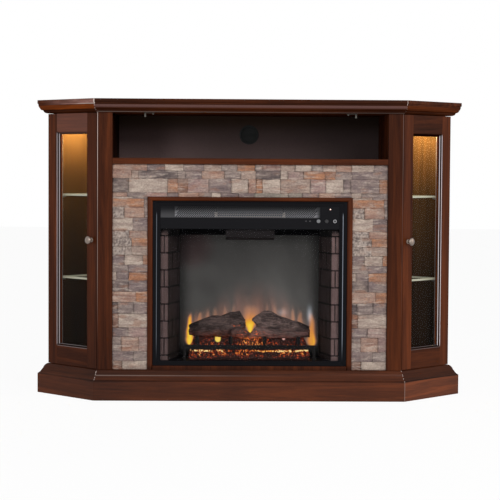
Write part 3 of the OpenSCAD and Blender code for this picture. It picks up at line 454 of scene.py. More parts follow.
def hardboard():
    """Pressed board with short fibres, for the back panels: in the bay grey under a brown painted
    shadow at the top, and painted lighter towards the left; in painted lamplight behind the
    cabinets' glass; and bare at the rear."""
    f = Finish("hardboard")
    fibres = f.noise((420.0, 420.0, 160.0), detail=3.0, roughness=0.7)
    clouds = f.noise(6.0, detail=3.0)
    mottle = fibres * 0.6 + clouds * 0.4
    x = f.along("X")
    grey = f.along("Z").fade(0.865, 0.79)
    # Painted shadow: brown under the top, over the grey board
    upper = f.between((34, 19, 8), (56, 36, 22), mottle)
    lower = f.between((76, 62, 62), (104, 86, 84), mottle)
    # Painted light: lighter towards the left
    lit = 0.72 + x.fade(0.30, 0.05) * 0.38 + x.fade(-0.02, -0.40) * 0.9 * grey
    colour = f.toned(f.mix(upper, lower, grey), lit)
    # Painted lamplight inside the cabinets
    cabinet = f.between(*LAMPLIT, fibres * 0.5 + clouds * 0.5)
    colour = f.mix(colour, cabinet, abs(x).above(BAY_HALF))
    bare = f.between((86, 60, 42), (128, 94, 68), mottle)
    return f.finished({"Base Color": f.mix(colour, bare, f.facing("Y").fade(0.3, 0.7)),
                       "Roughness": 0.55 + fibres * 0.2, "Specular IOR Level": 0.15,
                       "Normal": f.bump(fibres, 0.0002, 0.4)})


def split_stone_finish():
    """Cast ledge stone: the tone of each stone with streaks, blotches, grains and pits over it."""
    f = Finish("split_stone")
    tone = f.node("Attribute", {"attribute_name": "stone_tone"}, out="Color")
    streaks = f.noise((40.0, 40.0, 300.0), detail=6.0, roughness=0.7, distortion=0.8)
    blotches = f.noise((150.0, 150.0, 210.0), detail=4.0, roughness=0.7).fade(0.32, 0.68)
    grains = f.noise((700.0, 700.0, 900.0), detail=3.0, roughness=0.8)
    pale = f.noise((26.0, 26.0, 120.0), detail=4.0, distortion=0.5).fade(0.50, 0.68)
    shade = 0.28 + streaks * 0.72 + blotches * 0.40 + grains * 0.30
    tone = f.mix(tone, paint(192, 176, 164), pale * 0.45)
    relief = streaks * 0.45 + blotches * 0.3 + grains * 0.25
    return f.finished({"Base Color": f.toned(tone, shade), "Roughness": 0.72 + grains * 0.2,
                       "Specular IOR Level": 0.25, "Normal": f.bump(relief, 0.0018, 0.7)})


def moulded_brick():
    """Greyish pink moulded brick, darker on the left by painted shade, with soot and painted shade
    where the attribute says so.
    """
    f = Finish("moulded_brick")
    soot = f.node("Attribute", {"attribute_name": "soot"}, out="Fac")
    grains = f.noise(500.0, detail=4.0, roughness=0.7)
    patches = f.noise((40.0, 40.0, 60.0), detail=3.0)
    clean = f.between((76, 60, 59), (122, 101, 99), patches * 0.6 + grains * 0.4)
    # Painted shade: the left wall darker
    clean = f.toned(clean, 1.28 - f.left_half() * 0.36)
    # Soot and painted shade from the attribute
    colour = f.mix(clean, paint(17, 15, 15), soot)
    return f.finished({"Base Color": colour, "Roughness": 0.8, "Specular IOR Level": 0.1,
                       "Normal": f.bump(grains, 0.0008, 0.5)})


def painted_steel(name, colour, roughness):
    """Powder-coated sheet with a faint orange peel."""
    f = Finish(name)
    peel = f.noise(900.0, detail=2.0)
    wear = f.noise(18.0, detail=3.0)
    return f.finished({"Base Color": f.varied(colour, 0.85, 1.15, wear),
                       "Roughness": roughness + wear * 0.12,
                       "Specular IOR Level": 0.1, "Normal": f.bump(peel, 0.0001, 0.3)})


# Middle of the bead's painted highlight on the frame's upright bars, out from the firebox's middle
BEAD_REACH = 0.2840


def firebox_steel():
    """Black coat of the case and frame, with a painted highlight on the bead inside the frame's
    upright bars.
    """
    f = Finish("firebox_steel")
    peel = f.noise(900.0, detail=2.0)
    wear = f.noise(18.0, detail=3.0)
    z = f.along("Z")
    right = 1 - f.left_half()
    # Painted highlight along the bead, brighter on the right
    bead = f.line(abs(f.along("X")) + right * 0.0010, BEAD_REACH, 0.0014)
    bead = bead * z.fade(0.575, 0.56) * z.fade(0.115, 0.2) * (0.46 + right * 0.54)
    frame_only = z.above(0.118) * f.along("Y").below(-0.14)
    colour = f.between((8, 8, 11), (14, 13, 17), wear)
    colour = f.mix(colour, paint(132, 138, 148), bead * frame_only)
    return f.finished({"Base Color": colour, "Roughness": 0.42 + wear * 0.12,
                       "Specular IOR Level": 0.06, "Normal": f.bump(peel, 0.0001, 0.3)})


# Rows of slots in the heater grille
MESH_ROWS = 3


def grille_band(name, dark, light, barred=False):
    """Black coat with painted light that grows towards the foot of the grille's band. On the grille
    the strips between the rows of slots stay dark."""
    f = Finish(name)
    z = f.along("Z")
    low, high = (corner[2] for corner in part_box("heater_grille"))
    peel = f.noise(900.0, detail=2.0)
    # Painted light, rising towards the foot of the band
    rise = z.fade(high - 0.003, low + 0.004) * z.fade(low - 0.0006, low + 0.0004)
    rise = rise * f.along("X").fade(0.214, 0.196)
    if barred:
        row = (z - low - 0.001) * (MESH_ROWS / (high - low - 0.002))
        strip = abs(row - row.join("ROUND", row)) * 2
        rise = rise * strip.fade(0.06, 0.16) * 0.9 + 0.1
    shade = f.between(dark, light, rise * (0.85 + peel * 0.3))
    return f.finished({"Base Color": shade, "Roughness": 0.4 + peel * 0.12,
                       "Specular IOR Level": 0.07, "Normal": f.bump(peel, 0.0001, 0.3)})


def brushed_metal(name, colour, roughness=0.3):
    """Bare metal, brushed in fine level lines."""
    f = Finish(name)
    lines = f.noise((60.0, 60.0, 900.0), detail=3.0, roughness=0.6)
    return f.finished({"Base Color": f.varied(colour, 0.8, 1.0, lines), "Metallic": 1.0,
                       "Roughness": roughness + lines * 0.15,
                       "Normal": f.bump(lines, 0.00005, 0.3)})


def moulded_plastic(name, colour, roughness):
    """Moulded plastic with a fine spark-eroded grain."""
    f = Finish(name)
    grain = f.noise(1500.0, detail=2.0)
    return f.finished({"Base Color": f.varied(colour, 0.9, 1.0, grain),
                       "Roughness": roughness + grain * 0.12,
                       "Normal": f.bump(grain, 0.00006, 0.3)})


def clear_glass(name, colour, alpha, shine=0.5, edge=None):
    """Flat glass that lets the light through. Where edge is given, its ground edges are paler and
    glow with painted light.
    """
    f = Finish(name)
    smears = f.noise(9.0, detail=3.0)
    inputs = {"Base Color": paint(*colour), "Roughness": 0.03 + smears * 0.03,
              "Alpha": alpha + smears * 0.01, "IOR": 1.5, "Specular IOR Level": shine}
    if edge:
        # Paler ground edges that glow with painted light
        side = (1 - abs(f.facing("Z"))).fade(0.4, 0.8)
        inputs["Base Color"] = f.between(colour, edge, side)
        inputs["Alpha"] = alpha + side * 0.8
        inputs["Emission Color"] = f.mix((0, 0, 0, 1), paint(*edge, strength=0.35), side)
        inputs["Emission Strength"] = 1.0
    return f.finished(inputs)


def lamp_glow(name, colour, strength):
    """A lit lens or bulb with a faint grain."""
    f = Finish(name)
    grain = f.noise(300.0, detail=2.0)
    glow = f.varied(colour, 0.85, 1.0, grain)
    return f.finished({"Base Color": glow, "Roughness": 0.4, "Emission Color": glow,
                       "Emission Strength": strength})


def flame_picture_finish():
    """Smoked plastic screen that shows the flame picture as its own light."""
    f = Finish("flame_picture")
    light = f.node("Attribute", {"attribute_name": "flame_light"}, out="Color")
    grain = f.noise(260.0, detail=2.0)
    return f.finished({"Base Color": paint(10, 10, 10), "Roughness": 0.6 + grain * 0.1,
                       "Specular IOR Level": 0.05, "Emission Strength": 1.0,
                       "Emission Color": f.toned(light, 0.95 + grain * 0.1)})


def charred_log():
    """Grey-brown bark that is charred in its furrows and at the logs' outer ends, with glowing
    cracks and a painted red glow from the embers on the ember side."""
    f = Finish("charred_log")
    x, z = f.along("X"), f.along("Z")
    bark = f.noise((60.0, 160.0, 260.0), detail=6.0, roughness=0.7, distortion=0.8)
    ash = f.noise((25.0, 25.0, 40.0), detail=4.0)
    cracks = f.noise((110.0, 130.0, 300.0), detail=4.0, distortion=1.2).fade(0.54, 0.66)
    low = z.fade(0.222, 0.188)
    centre = abs(x - 0.006).fade(0.062, 0.02) * z.fade(0.236, 0.205)
    seam = f.line(z, 0.222, 0.004) * x.fade(-0.06, -0.05) * x.fade(-0.02, -0.03)
    hot = cracks * (low * 0.35 + centre * 0.6 + seam)
    body = f.ramp(bark * 0.6 + ash * 0.4, (0.28, (15, 12, 12)), (0.45, (58, 48, 46)),
                  (0.60, (108, 90, 86)), (0.76, (162, 136, 126)))
    charred = abs(x).fade(0.135, 0.178) * ash.fade(0.62, 0.42)
    # Painted light: the right log lighter than the left
    body = f.toned(body, (1.50 - f.left_half() * 0.62) * (1 - charred * 0.65))
    # Painted red glow from the embers on the undersides
    red = low * ash.fade(0.35, 0.65)
    glow = f.between((60, 12, 6), (255, 110, 40), hot)
    return f.finished({"Base Color": f.mix(body, paint(104, 44, 34), red * 0.5),
                       "Roughness": 0.85, "Specular IOR Level": 0.1,
                       "Emission Color": f.toned(glow, hot * 0.95 + red * 0.10),
                       "Emission Strength": 1.0, "Normal": f.bump(bark, 0.0025, 0.8)})


# Hottest places of the embers: X, Z, radius and tone
HOT_SPOTS = ((-0.0965, 0.1815, 0.0105, (250, 214, 96)),
             (0.106, 0.1840, 0.0055, (214, 160, 150)))

# Heat and tone of the coals' glow
GLOW = ((0.0, (8, 4, 4)), (0.16, (50, 18, 12)), (0.26, (120, 36, 16)), (0.45, (206, 80, 28)),
        (0.75, (255, 182, 76)), (1.0, (255, 234, 164)))


def glowing_embers(bar_low, bar_high):
    """Coals that are dark outside and glow in their cracks: a bright broken line under the bar,
    dull red below it, and a few hot places between the logs and the bar."""
    f = Finish("glowing_embers")
    x, z = f.along("X"), f.along("Z")
    lumps = f.noise(120.0, detail=5.0, roughness=0.65, distortion=1.0)
    veins = f.cells((80.0, 80.0, 110.0)).fade(0.16, 0.02)
    patches = f.noise((24.0, 24.0, 30.0), detail=3.0).fade(0.40, 0.64)
    run = f.noise((16.0, 3.0, 3.0), detail=1.0).fade(0.40, 0.56)
    run = run * 0.45 + abs(x - 0.01).fade(0.05, 0.10) * 0.55
    wave = f.noise((22.0, 5.0, 5.0), detail=2.0) * 0.012
    rim = f.line(z + wave, bar_low - 0.0005, 0.0034)
    below = z.fade(bar_low, bar_low - 0.004) * z.fade(bar_low - 0.036, bar_low - 0.018)
    above = z.above(bar_high - 0.002)
    centre = abs(x - 0.012).fade(0.052, 0.03)
    heat = veins * (0.10 + below * 0.10 + above * centre * 0.16) * (0.3 + patches)
    heat = heat + rim * lumps.fade(0.42, 0.57) * (0.18 + run * 0.95)
    sparks = lumps.fade(0.48, 0.66)
    low_coals = z.fade(bar_high + 0.012, bar_high)
    heat = heat + sparks * (below * (0.22 + patches * 0.60) + above * (0.24 + centre * 0.5))
    heat = heat + sparks * above * low_coals * patches * 0.5
    glow = f.ramp(heat, *GLOW)
    for spot_x, spot_z, radius, tone in HOT_SPOTS:
        off_x, off_z = x - spot_x, z - spot_z
        far = off_x * off_x + off_z * off_z
        glow = f.mix(glow, paint(*tone), far.fade(radius ** 2, (0.6 * radius) ** 2))
    coal = f.between((14, 11, 11), (58, 42, 38), lumps)
    return f.finished({"Base Color": coal, "Roughness": 0.9, "Specular IOR Level": 0.1,
                       "Emission Color": glow, "Emission Strength": 1.0,
                       "Normal": f.bump(lumps, 0.002, 0.7)})


def cast_iron():
    """Rough black casting."""
    f = Finish("cast_iron")
    sand = f.noise(600.0, detail=4.0, roughness=0.7)
    colour = f.between((9, 8, 8), (24, 21, 21), sand)
    return f.finished({"Base Color": colour, "Roughness": 0.6 + sand * 0.2,
                       "Specular IOR Level": 0.12, "Normal": f.bump(sand, 0.0006, 0.6)})


def signal_lens():
    """The lit lens over the grille and the two dim ones beside the buttons."""
    f = Finish("signal_lens")
    lit = f.along("Z").above(0.57)
    grain = f.noise(900.0, detail=1.0)
    colour = f.between((70, 66, 70), (255, 214, 204), lit)
    light = f.between((14, 13, 14), (255, 208, 196), lit)
    return f.finished({"Base Color": colour, "Roughness": 0.2 + grain * 0.05,
                       "Emission Color": light, "Emission Strength": 1.0})


# Radius of the dark cap inside the button's rim
CAP_RADIUS = 0.0036


def ringed_button():
    """Silver rim round a dark cap, about the middle of the flame button."""
    f = Finish("ringed_button")
    low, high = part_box("flame_button")
    x = f.along("X") - (low[0] + high[0]) / 2
    z = f.along("Z") - (low[2] + high[2]) / 2
    rim = (x * x + z * z).above(CAP_RADIUS ** 2)
    grain = f.noise(900.0, detail=2.0)
    colour = f.between((24, 25, 28), (168, 168, 170), rim)
    return f.finished({"Base Color": colour, "Metallic": rim * 0.7,
                       "Roughness": 0.25 + grain * 0.15})


# ---------------------------------------------------------------- surfaces worked out on grids

def lattice(i, j, seed):
    """A value from 0 to 1 for each whole-numbered point: its two numbers times large primes, mixed
    by shifts."""
    n = i.astype(np.int64) * 374761393 + j.astype(np.int64) * 668265263 + seed * 362437
    n = n & 0xFFFFFFFF
    n = ((n ^ (n >> 13)) * 1274126177) & 0xFFFFFFFF
    return ((n ^ (n >> 16)) & 0xFFFF) / 0xFFFF


def value_noise(x, y, seed):
    """Lattice values joined by smooth steps between whole-numbered points, from -1 to 1."""
    x, y = np.broadcast_arrays(x, y)
    i, j = np.floor(x), np.floor(y)
    u, v = x - i, y - j
    u, v = u * u * (3 - 2 * u), v * v * (3 - 2 * v)
    low = lattice(i, j, seed) * (1 - u) + lattice(i + 1, j, seed) * u
    high = lattice(i, j + 1, seed) * (1 - u) + lattice(i + 1, j + 1, seed) * u
    return 2 * (low * (1 - v) + high * v) - 1


def rough(x, y, seed, octaves=4):
    """Sum of value noises, each twice as fine and half as high as the one before."""
    parts = [value_noise(x * 2 ** k, y * 2 ** k, seed + 31 * k) / 2 ** k for k in range(octaves)]
    return sum(parts) / 1.6


def smooth(value, low, high):
    """Smooth step from 0 at low to 1 at high; high may be below low."""
    t = np.clip((value - low) / (high - low), 0, 1)
    return t * t * (3 - 2 * t)


def blend_colours(low, high, share):
    """Colour from low to high, for an array of shares."""
    share = np.asarray(share)[..., None]
    return np.asarray(low) * (1 - share) + np.asarray(high) * share


def grid_faces(rows, columns, closed=False):
    """Squares of a grid of points that are stored row by row; closed joins the last column on."""
    i, j = np.meshgrid(np.arange(rows - 1), np.arange(columns if closed else columns - 1),
                       indexing="ij")
    k = (j + 1) % columns
    square = [i * columns + j, i * columns + k, (i + 1) * columns + k, (i + 1) * columns + j]
    return np.stack(square, -1).reshape(-1, 4)


def shell(front, back):
    """Closed shell between two grids of points: both grids, and a wall round their borders."""
    rows, columns = front.shape[:2]
    count = rows * columns
    index = np.arange(count).reshape(rows, columns)
    border = np.concatenate([index[0, :-1], index[:-1, -1], index[-1, :0:-1], index[:0:-1, 0]])
    after = np.roll(border, -1)
    faces = grid_faces(rows, columns)
    walls = np.stack([border, border + count, after + count, after], -1)
    points = np.concatenate([front.reshape(-1, 3), back.reshape(-1, 3)])
    return points, np.concatenate([faces, faces[:, ::-1] + count, walls])


def together(parts):
    """Points and faces of several surfaces as those of one."""
    points, faces, start = [], [], 0
    for part_points, part_faces in parts:
        points.append(part_points)
        faces.append(part_faces + start)
        start += len(part_points)
    return np.concatenate(points), np.concatenate(faces)


def piece(name, points, faces, finish, body, replaced, colours=None, shares=None):
    """Mesh object with its normals outwards, that rides on a body and stands for CAD nodes. Its
    points may carry colours or single shares, each under an attribute's name."""
    mesh = bpy.data.meshes.new(name)
    mesh.from_pydata(points.tolist(), [], faces.tolist())
    work = bmesh.new()
    work.from_mesh(mesh)
    bmesh.ops.recalc_face_normals(work, faces=work.faces)
    work.to_mesh(mesh)
    work.free()
    for attribute, values in (colours or {}).items():
        rows = np.ones((len(points), 4))
        rows[:, :3] = values
        layer = mesh.attributes.new(attribute, "FLOAT_COLOR", "POINT")
        layer.data.foreach_set("color", rows.ravel())
    for attribute, values in (shares or {}).items():
        layer = mesh.attributes.new(attribute, "FLOAT", "POINT")
        layer.data.foreach_set("value", values)
    mesh.polygons.foreach_set("use_smooth", [True] * len(mesh.polygons))
    made = bpy.data.objects.new(name, mesh)
    bpy.context.scene.collection.objects.link(made)
    made.data.materials.append(finish)
    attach(made, body)
    if replaced:
        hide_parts(*replaced)


# ---------------------------------------------------------------- stonework

# Two shades of each kind of stone
TONES = {
    "pale": ((180, 163, 150), (152, 134, 124)),
    "beige": ((162, 140, 127), (138, 117, 107)),
    "grey": ((141, 126, 120), (117, 102, 98)),
    "tan": ((164, 133, 117), (140, 109, 97)),
    "pink": ((158, 132, 125), (134, 110, 106)),
    "rust": ((164, 116, 88), (136, 98, 80)),
    "brown": ((126, 94, 80), (104, 76, 67)),
    "violet": ((130, 113, 110), (108, 93, 92)),
    "dark": ((110, 96, 93), (86, 75, 74)),
    "moss": ((137, 129, 118), (117, 108, 101)),
    "speckled": ((168, 154, 145), (104, 92, 88)),
}
SHADES = {name: tuple(tint(*shade) for shade in pair) for name, pair in TONES.items()}
STAIN, IRON, BACKING = tint(150, 132, 122), tint(146, 100, 76), tint(78, 67, 63)

# Courses from the top down: height, then length and tone of each stone from the left.
# They are scaled to fill the panel.
COLUMN = [
    (6, (60, "pale"), (46, "grey")),
    (26, (96, "rust"), (11, "grey")),
    (32, (36, "speckled"), (62, "tan"), (9, "grey")),
    (39, (62, "pale"), (44, "violet")),
    (22, (50, "speckled"), (56, "tan")),
    (25, (58, "speckled"), (48, "rust")),
    (27, (58, "speckled"), (48, "beige")),
    (30, (36, "violet"), (57, "pale"), (13, "rust")),
    (22, (48, "grey"), (58, "violet")),
    (25, (12, "pale"), (38, "violet"), (56, "rust")),
    (34, (49, "dark"), (57, "violet")),
    (33, (72, "tan"), (34, "rust")),
    (35, (16, "dark"), (48, "grey"), (42, "violet")),
    (42, (19, "brown"), (87, "pale")),
    (28, (48, "violet"), (58, "pink")),
    (44, (27, "grey"), (54, "tan"), (25, "pink")),
    (30, (64, "violet"), (42, "grey")),
    (26, (30, "brown"), (76, "pale")),
]
HEADER = [
    (20, (105, "tan"), (52, "violet"), (57, "pale"), (63, "violet"), (52, "beige"), (48, "grey"),
     (54, "rust"), (23, "grey"), (54, "violet"), (44, "beige"), (50, "pale"), (34, "grey"),
     (40, "beige"), (48, "tan"), (67, "pale"), (43, "violet")),
    (24, (57, "tan"), (22, "beige"), (118, "dark"), (25, "grey"), (48, "violet"), (69, "tan"),
     (50, "grey"), (46, "beige"), (74, "dark"), (22, "pale"), (48, "pink"), (66, "rust"),
     (31, "rust"), (50, "grey"), (110, "violet")),
    (42, (48, "dark"), (116, "pale"), (30, "rust"), (31, "brown"), (62, "pink"), (67, "violet"),
     (51, "pale"), (23, "tan"), (20, "rust"), (53, "pale"), (90, "beige"), (46, "pink"),
     (53, "pale"), (22, "violet"), (85, "violet"), (26, "rust")),
    (13, (44, "tan"), (58, "grey"), (62, "pink"), (35, "violet"), (62, "tan"), (38, "grey"),
     (27, "pale"), (55, "violet"), (47, "violet"), (104, "moss"), (42, "moss"), (50, "violet"),
     (49, "tan"), (49, "violet"), (31, "pale"), (80, "grey")),
]

# Thickness of the cast panel behind the stones, gap between two stones, share of their depth that
# the lowest faces stand back, step of their grids, and height of the waves along their edges
PANEL = 0.012
JOINT = 0.0002
SET_BACK = 0.32
STONE_STEP = 0.0022
WAVE = 0.0017


def edge_spaced(count):
    """Steps from 0 to 1 that are closer together at both ends."""
    t = np.linspace(0, 1, count)
    return 0.45 * t + 0.55 * (0.5 - 0.5 * np.cos(math.pi * t))


def waver(ends, share, walls, run, seed):
    """Shift of a block's points across a pair of its edges: noise along each edge, the same for
    both blocks that meet there, and falling to 0 at the other edge and at the panel's walls."""
    shift = 0
    for line, near in zip(ends, (1 - share, share)):
        free = min(1, min(abs(line - wall) for wall in walls) / 0.002)
        shift = shift + free * WAVE * near * rough(run, 0 * run + round(line * 999), seed, 2)
    return shift


def split_stone(left, right, low, high, front, back, walls, seed):
    """Block whose four edges waver, and whose face is the front plane, pushed back by a lean,
    by layers that run along it, by lumps, and by a rounding that falls off from its edges as
    an exponential. The edges at the panel's own walls stay straight."""
    across = left + (right - left) * edge_spaced(max(9, int((right - left) / STONE_STEP)))
    up = low + (high - low) * edge_spaced(max(7, int((high - low) / STONE_STEP)))
    x, z = np.meshgrid(across, up)
    share_x, share_z = (x - left) / (right - left), (z - low) / (high - low)
    edge = np.minimum(np.minimum(x - left, right - x), np.minimum(z - low, high - z))
    layers = np.abs(rough(x * 9, z * 120, seed)) * 0.0022
    lumps = (1 + rough(x * 45, z * 70, seed + 7)) * 0.0013
    lean = share_z * 0.0011 * (seed % 3)
    wear_and_sheen = 0.0006 * (1 + 0.8 * value_noise(x * 160, z * 160, seed + 3)) * np.exp(-edge / 0.0009)
    y = np.minimum(front + layers + lumps + lean + wear_and_sheen, back - 0.0008)
    wavy_x = x + waver((left, right), share_x, walls[:2], z * 75, 41)
    wavy_z = z + waver((low, high), share_z, walls[2:], x * 48, 43)
    return shell(np.stack([wavy_x, y, wavy_z], -1),
                 np.stack([x, np.full_like(x, back + 0.002), z], -1))


def stone_colours(points, tone, left, right, seed):
    """Tone of a stone's points: its two shades in streaks along it, stained and rusty in patches,
    and on about every other stone darker at the broken ends."""
    x, z = points[:, 0], points[:, 2]
    fine = 240 if tone == "speckled" else 22
    streak = smooth(rough(x * fine, z * 170, seed + 11), -0.35, 0.45)
    stain = smooth(rough(x * 38, z * 60, 71), -0.25, 0.6) * 0.5
    rust = smooth(rough(x * 26, z * 75, 83), 0.22, 0.6) * 0.4
    colour = blend_colours(*SHADES[tone], streak)
    colour = blend_colours(blend_colours(colour, STAIN, stain), IRON, rust)
    end = np.exp(-np.minimum(x - left, right - x) / 0.0022)
    cracked = 0.45 * end * (lattice(np.array([seed]), np.array([1]), 5) > 0.5)
    return colour * (1 - cracked)[:, None]


def stone_panel(courses, low, high):
    """Courses of stones on a cast panel, between two corners of its node."""
    front, back = low[1], high[1] - PANEL
    tall = sum(course[0] for course in courses)
    panel = np.array([[[x, back + 0.0012, z] for x in (low[0], high[0])]
                      for z in (low[2], high[2])])
    rear = panel.copy()
    rear[..., 1] = high[1]
    parts = [shell(panel, rear)]
    colours = [np.tile(BACKING, (len(parts[0][0]), 1))]
    walls = (low[0], high[0], low[2], high[2])
    top = high[2]
    for row, (height, *stones) in enumerate(courses):
        bottom = top - height / tall * (high[2] - low[2])
        wide = sum(length for length, tone in stones)
        left = low[0]
        for column, (length, tone) in enumerate(stones):
            right = left + length / wide * (high[0] - low[0])
            seed = row * 37 + column * 11 + 5
            proud = float(lattice(np.array([row]), np.array([column]), 2)[0])
            face = front + (1 - proud) * SET_BACK * (back - front)
            stone = split_stone(left + JOINT / 2, right - JOINT / 2, bottom + JOINT / 2,
                                top - JOINT / 2, face, back, walls, seed)
            parts.append(stone)
            colours.append(stone_colours(stone[0], tone, left, right, seed))
            left = right
        top = bottom
    return together(parts), np.concatenate(colours)


def stonework(finish):
    """The header over the firebox and the column on each side of it."""
    low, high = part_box("stone_columns")
    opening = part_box("firebox_trim")
    panels = (("header", "stone_header", HEADER, *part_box("stone_header")),
              ("column_left", "stone_columns", COLUMN, low, (opening[0][0], high[1], high[2])),
              ("column_right", "stone_columns", COLUMN, (opening[1][0], low[1], low[2]), high))
    for name, node, courses, corner, opposite in panels:
        (points, faces), tones = stone_panel(courses, corner, opposite)
        piece("ledge_stone_" + name, points, faces, finish, CABINET, (node,),
              {"stone_tone": tones})


# ---------------------------------------------------------------- firebox

# Height and length of a brick with its joint, half width and depth of the joint, width of the
# pilaster beside the opening, thickness of the moulding, and depth of the flutes in the bricks
BRICK_PITCH = 0.0522
BRICK_LENGTH = 0.105
MORTAR = 0.0030
MORTAR_DEPTH = 0.0022
PILASTER = 0.023
BRICK_SKIN = 0.0055
FLUTE = 0.0009


def brick_wall(side, finish):
    """Brick relief carried along a bent path: across the pilaster, then back to the screen.
    It falls by the mortar's depth near each level line and each staggered upright joint, and by
    the depth of a flute where a drawn-out noise is high. Soot lies in the joints and flutes, with
    painted shade on the wall behind the pilaster and a painted shadow under the ceiling."""
    low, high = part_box("brick_liners")
    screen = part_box("flame_screen")[1][0]
    path = np.array([[high[0], low[1]], [high[0] - PILASTER, low[1]], [screen, high[1]]])
    steps = np.concatenate([np.linspace(0, 1, 18), np.linspace(1, 2, 70)[1:]])
    whole = np.minimum(steps.astype(int), 1)
    part = (steps - whole)[:, None]
    line = path[whole] * (1 - part) + path[whole + 1] * part
    run = np.concatenate([[0], np.cumsum(np.linalg.norm(np.diff(line, axis=0), axis=1))])
    heading = (path[2] - path[1]) / np.linalg.norm(path[2] - path[1])
    bend = smooth(run, PILASTER - 0.001, PILASTER + 0.001)[:, None]
    inward = np.array([0.0, -1.0]) * (1 - bend) + np.array([-heading[1], heading[0]]) * bend
    inward[:, 1] = np.minimum(inward[:, 1], 0)
    inward /= np.linalg.norm(inward, axis=1)[:, None]
    z = np.linspace(low[2], high[2], 230)[:, None]
    course = (high[2] - 0.026 - z) / BRICK_PITCH
    level = np.abs(course - np.round(course)) * BRICK_PITCH
    shift = 0.011 + (np.floor(course) % 2) * BRICK_LENGTH / 2
    joint = (run[None] - shift) / BRICK_LENGTH
    upright = np.abs(joint - np.round(joint)) * BRICK_LENGTH
    groove = np.maximum(smooth(level, MORTAR, MORTAR * 0.4) + 0 * run[None],
                        smooth(upright, MORTAR * 0.8, MORTAR * 0.3))
    skin = (1 + rough(run[None] * 60, z * 60, 3)) * 0.0005
    flutes = smooth(value_noise(run[None] * 330, z * 9, 8), 0.45, 0.8) * FLUTE
    depth = groove * MORTAR_DEPTH + skin + flutes
    mirror = np.array([side, 1.0])
    face = (line[None] - inward[None] * depth[..., None]) * mirror
    rear = np.broadcast_to((line - inward * BRICK_SKIN)[None], face.shape) * mirror
    tall = np.broadcast_to(z, depth.shape)[..., None]
    points, faces = shell(np.concatenate([face, tall], -1), np.concatenate([rear, tall], -1))
    # Painted shade behind the pilaster and a painted shadow under the ceiling, with soot in the
    # joints and flutes
    deep = np.broadcast_to(smooth(run[None], PILASTER - 0.004, PILASTER + 0.004), depth.shape)
    shaded = smooth(z, high[2] - 0.034, high[2] - 0.006) + 0 * depth
    soot = np.clip(0.84 * deep + 0.9 * groove + 0.25 * flutes / FLUTE + shaded, 0, 1)
    soot = np.concatenate([soot.ravel(), np.ones(soot.size)])
    name = "brick_wall_" + ("right" if side > 0 else "left")
    piece(name, points, faces, finish, CABINET, ("brick_liners",),
          shares={"soot": soot})


# Flames on the screen: middle of the foot, foot, middle of the tip, tip, widest half width, share
# of the height at which it is widest, and warmth
FLAMES = [
    (-0.187, 0.156, -0.181, 0.264, 0.0115, 0.16, 1.00),
    (-0.154, 0.210, -0.151, 0.266, 0.0090, 0.25, 0.42),
    (0.195, 0.152, 0.194, 0.272, 0.0150, 0.15, 0.56),
    (0.200, 0.158, 0.199, 0.222, 0.0085, 0.3, 0.66),
    (-0.128, 0.205, -0.130, 0.272, 0.0100, 0.3, 0.30),
    (-0.104, 0.205, -0.106, 0.282, 0.0100, 0.3, 0.30),
    (-0.078, 0.215, -0.077, 0.288, 0.0090, 0.3, 0.28),
    (-0.050, 0.215, -0.049, 0.294, 0.0110, 0.3, 0.27),
    (0.056, 0.215, 0.055, 0.294, 0.0100, 0.3, 0.26),
    (0.080, 0.215, 0.078, 0.290, 0.0090, 0.3, 0.30),
    (0.104, 0.205, 0.103, 0.286, 0.0110, 0.3, 0.32),
    (0.134, 0.200, 0.133, 0.280, 0.0110, 0.3, 0.34),
    (0.162, 0.195, 0.160, 0.272, 0.0110, 0.3, 0.38),
]

# Middle flame: its heat at heights over the floor
HEARTH_HEIGHTS = (0.20, 0.219, 0.228, 0.238, 0.255, 0.266, 0.276, 0.288, 0.315)
HEARTH_HEAT = (1.0, 0.95, 0.70, 0.50, 0.36, 0.29, 0.20, 0.09, 0.0)

# Painted glints on the flame picture: middle in X and Z, half width and half height, and light
PAINTED_GLINTS = ((0.189, 0.252, 0.007, 0.022, (0.24, 0.27, 0.30)),
               (0.104, 0.258, 0.014, 0.010, (0.12, 0.12, 0.13)))

# Colour of a flame by its heat
FLAME_STOPS = (0.0, 0.14, 0.30, 0.46, 0.66, 1.0)
FLAME_TONES = np.array([tint(0, 0, 0), tint(70, 48, 36), tint(152, 100, 66), tint(216, 138, 64),
                        tint(244, 182, 52), tint(255, 222, 78)])

# Light of the smoke, what its upper left patch adds, and light of the mist and of the wisps
SMOKE = np.array([1.04, 1.0, 0.95])
SMOKE_PATCH = np.array([0.45, -0.05, -0.02])
MIST = np.array([0.098, 0.026, 0.013])
WISP = np.array([0.14, 0.062, 0.036])


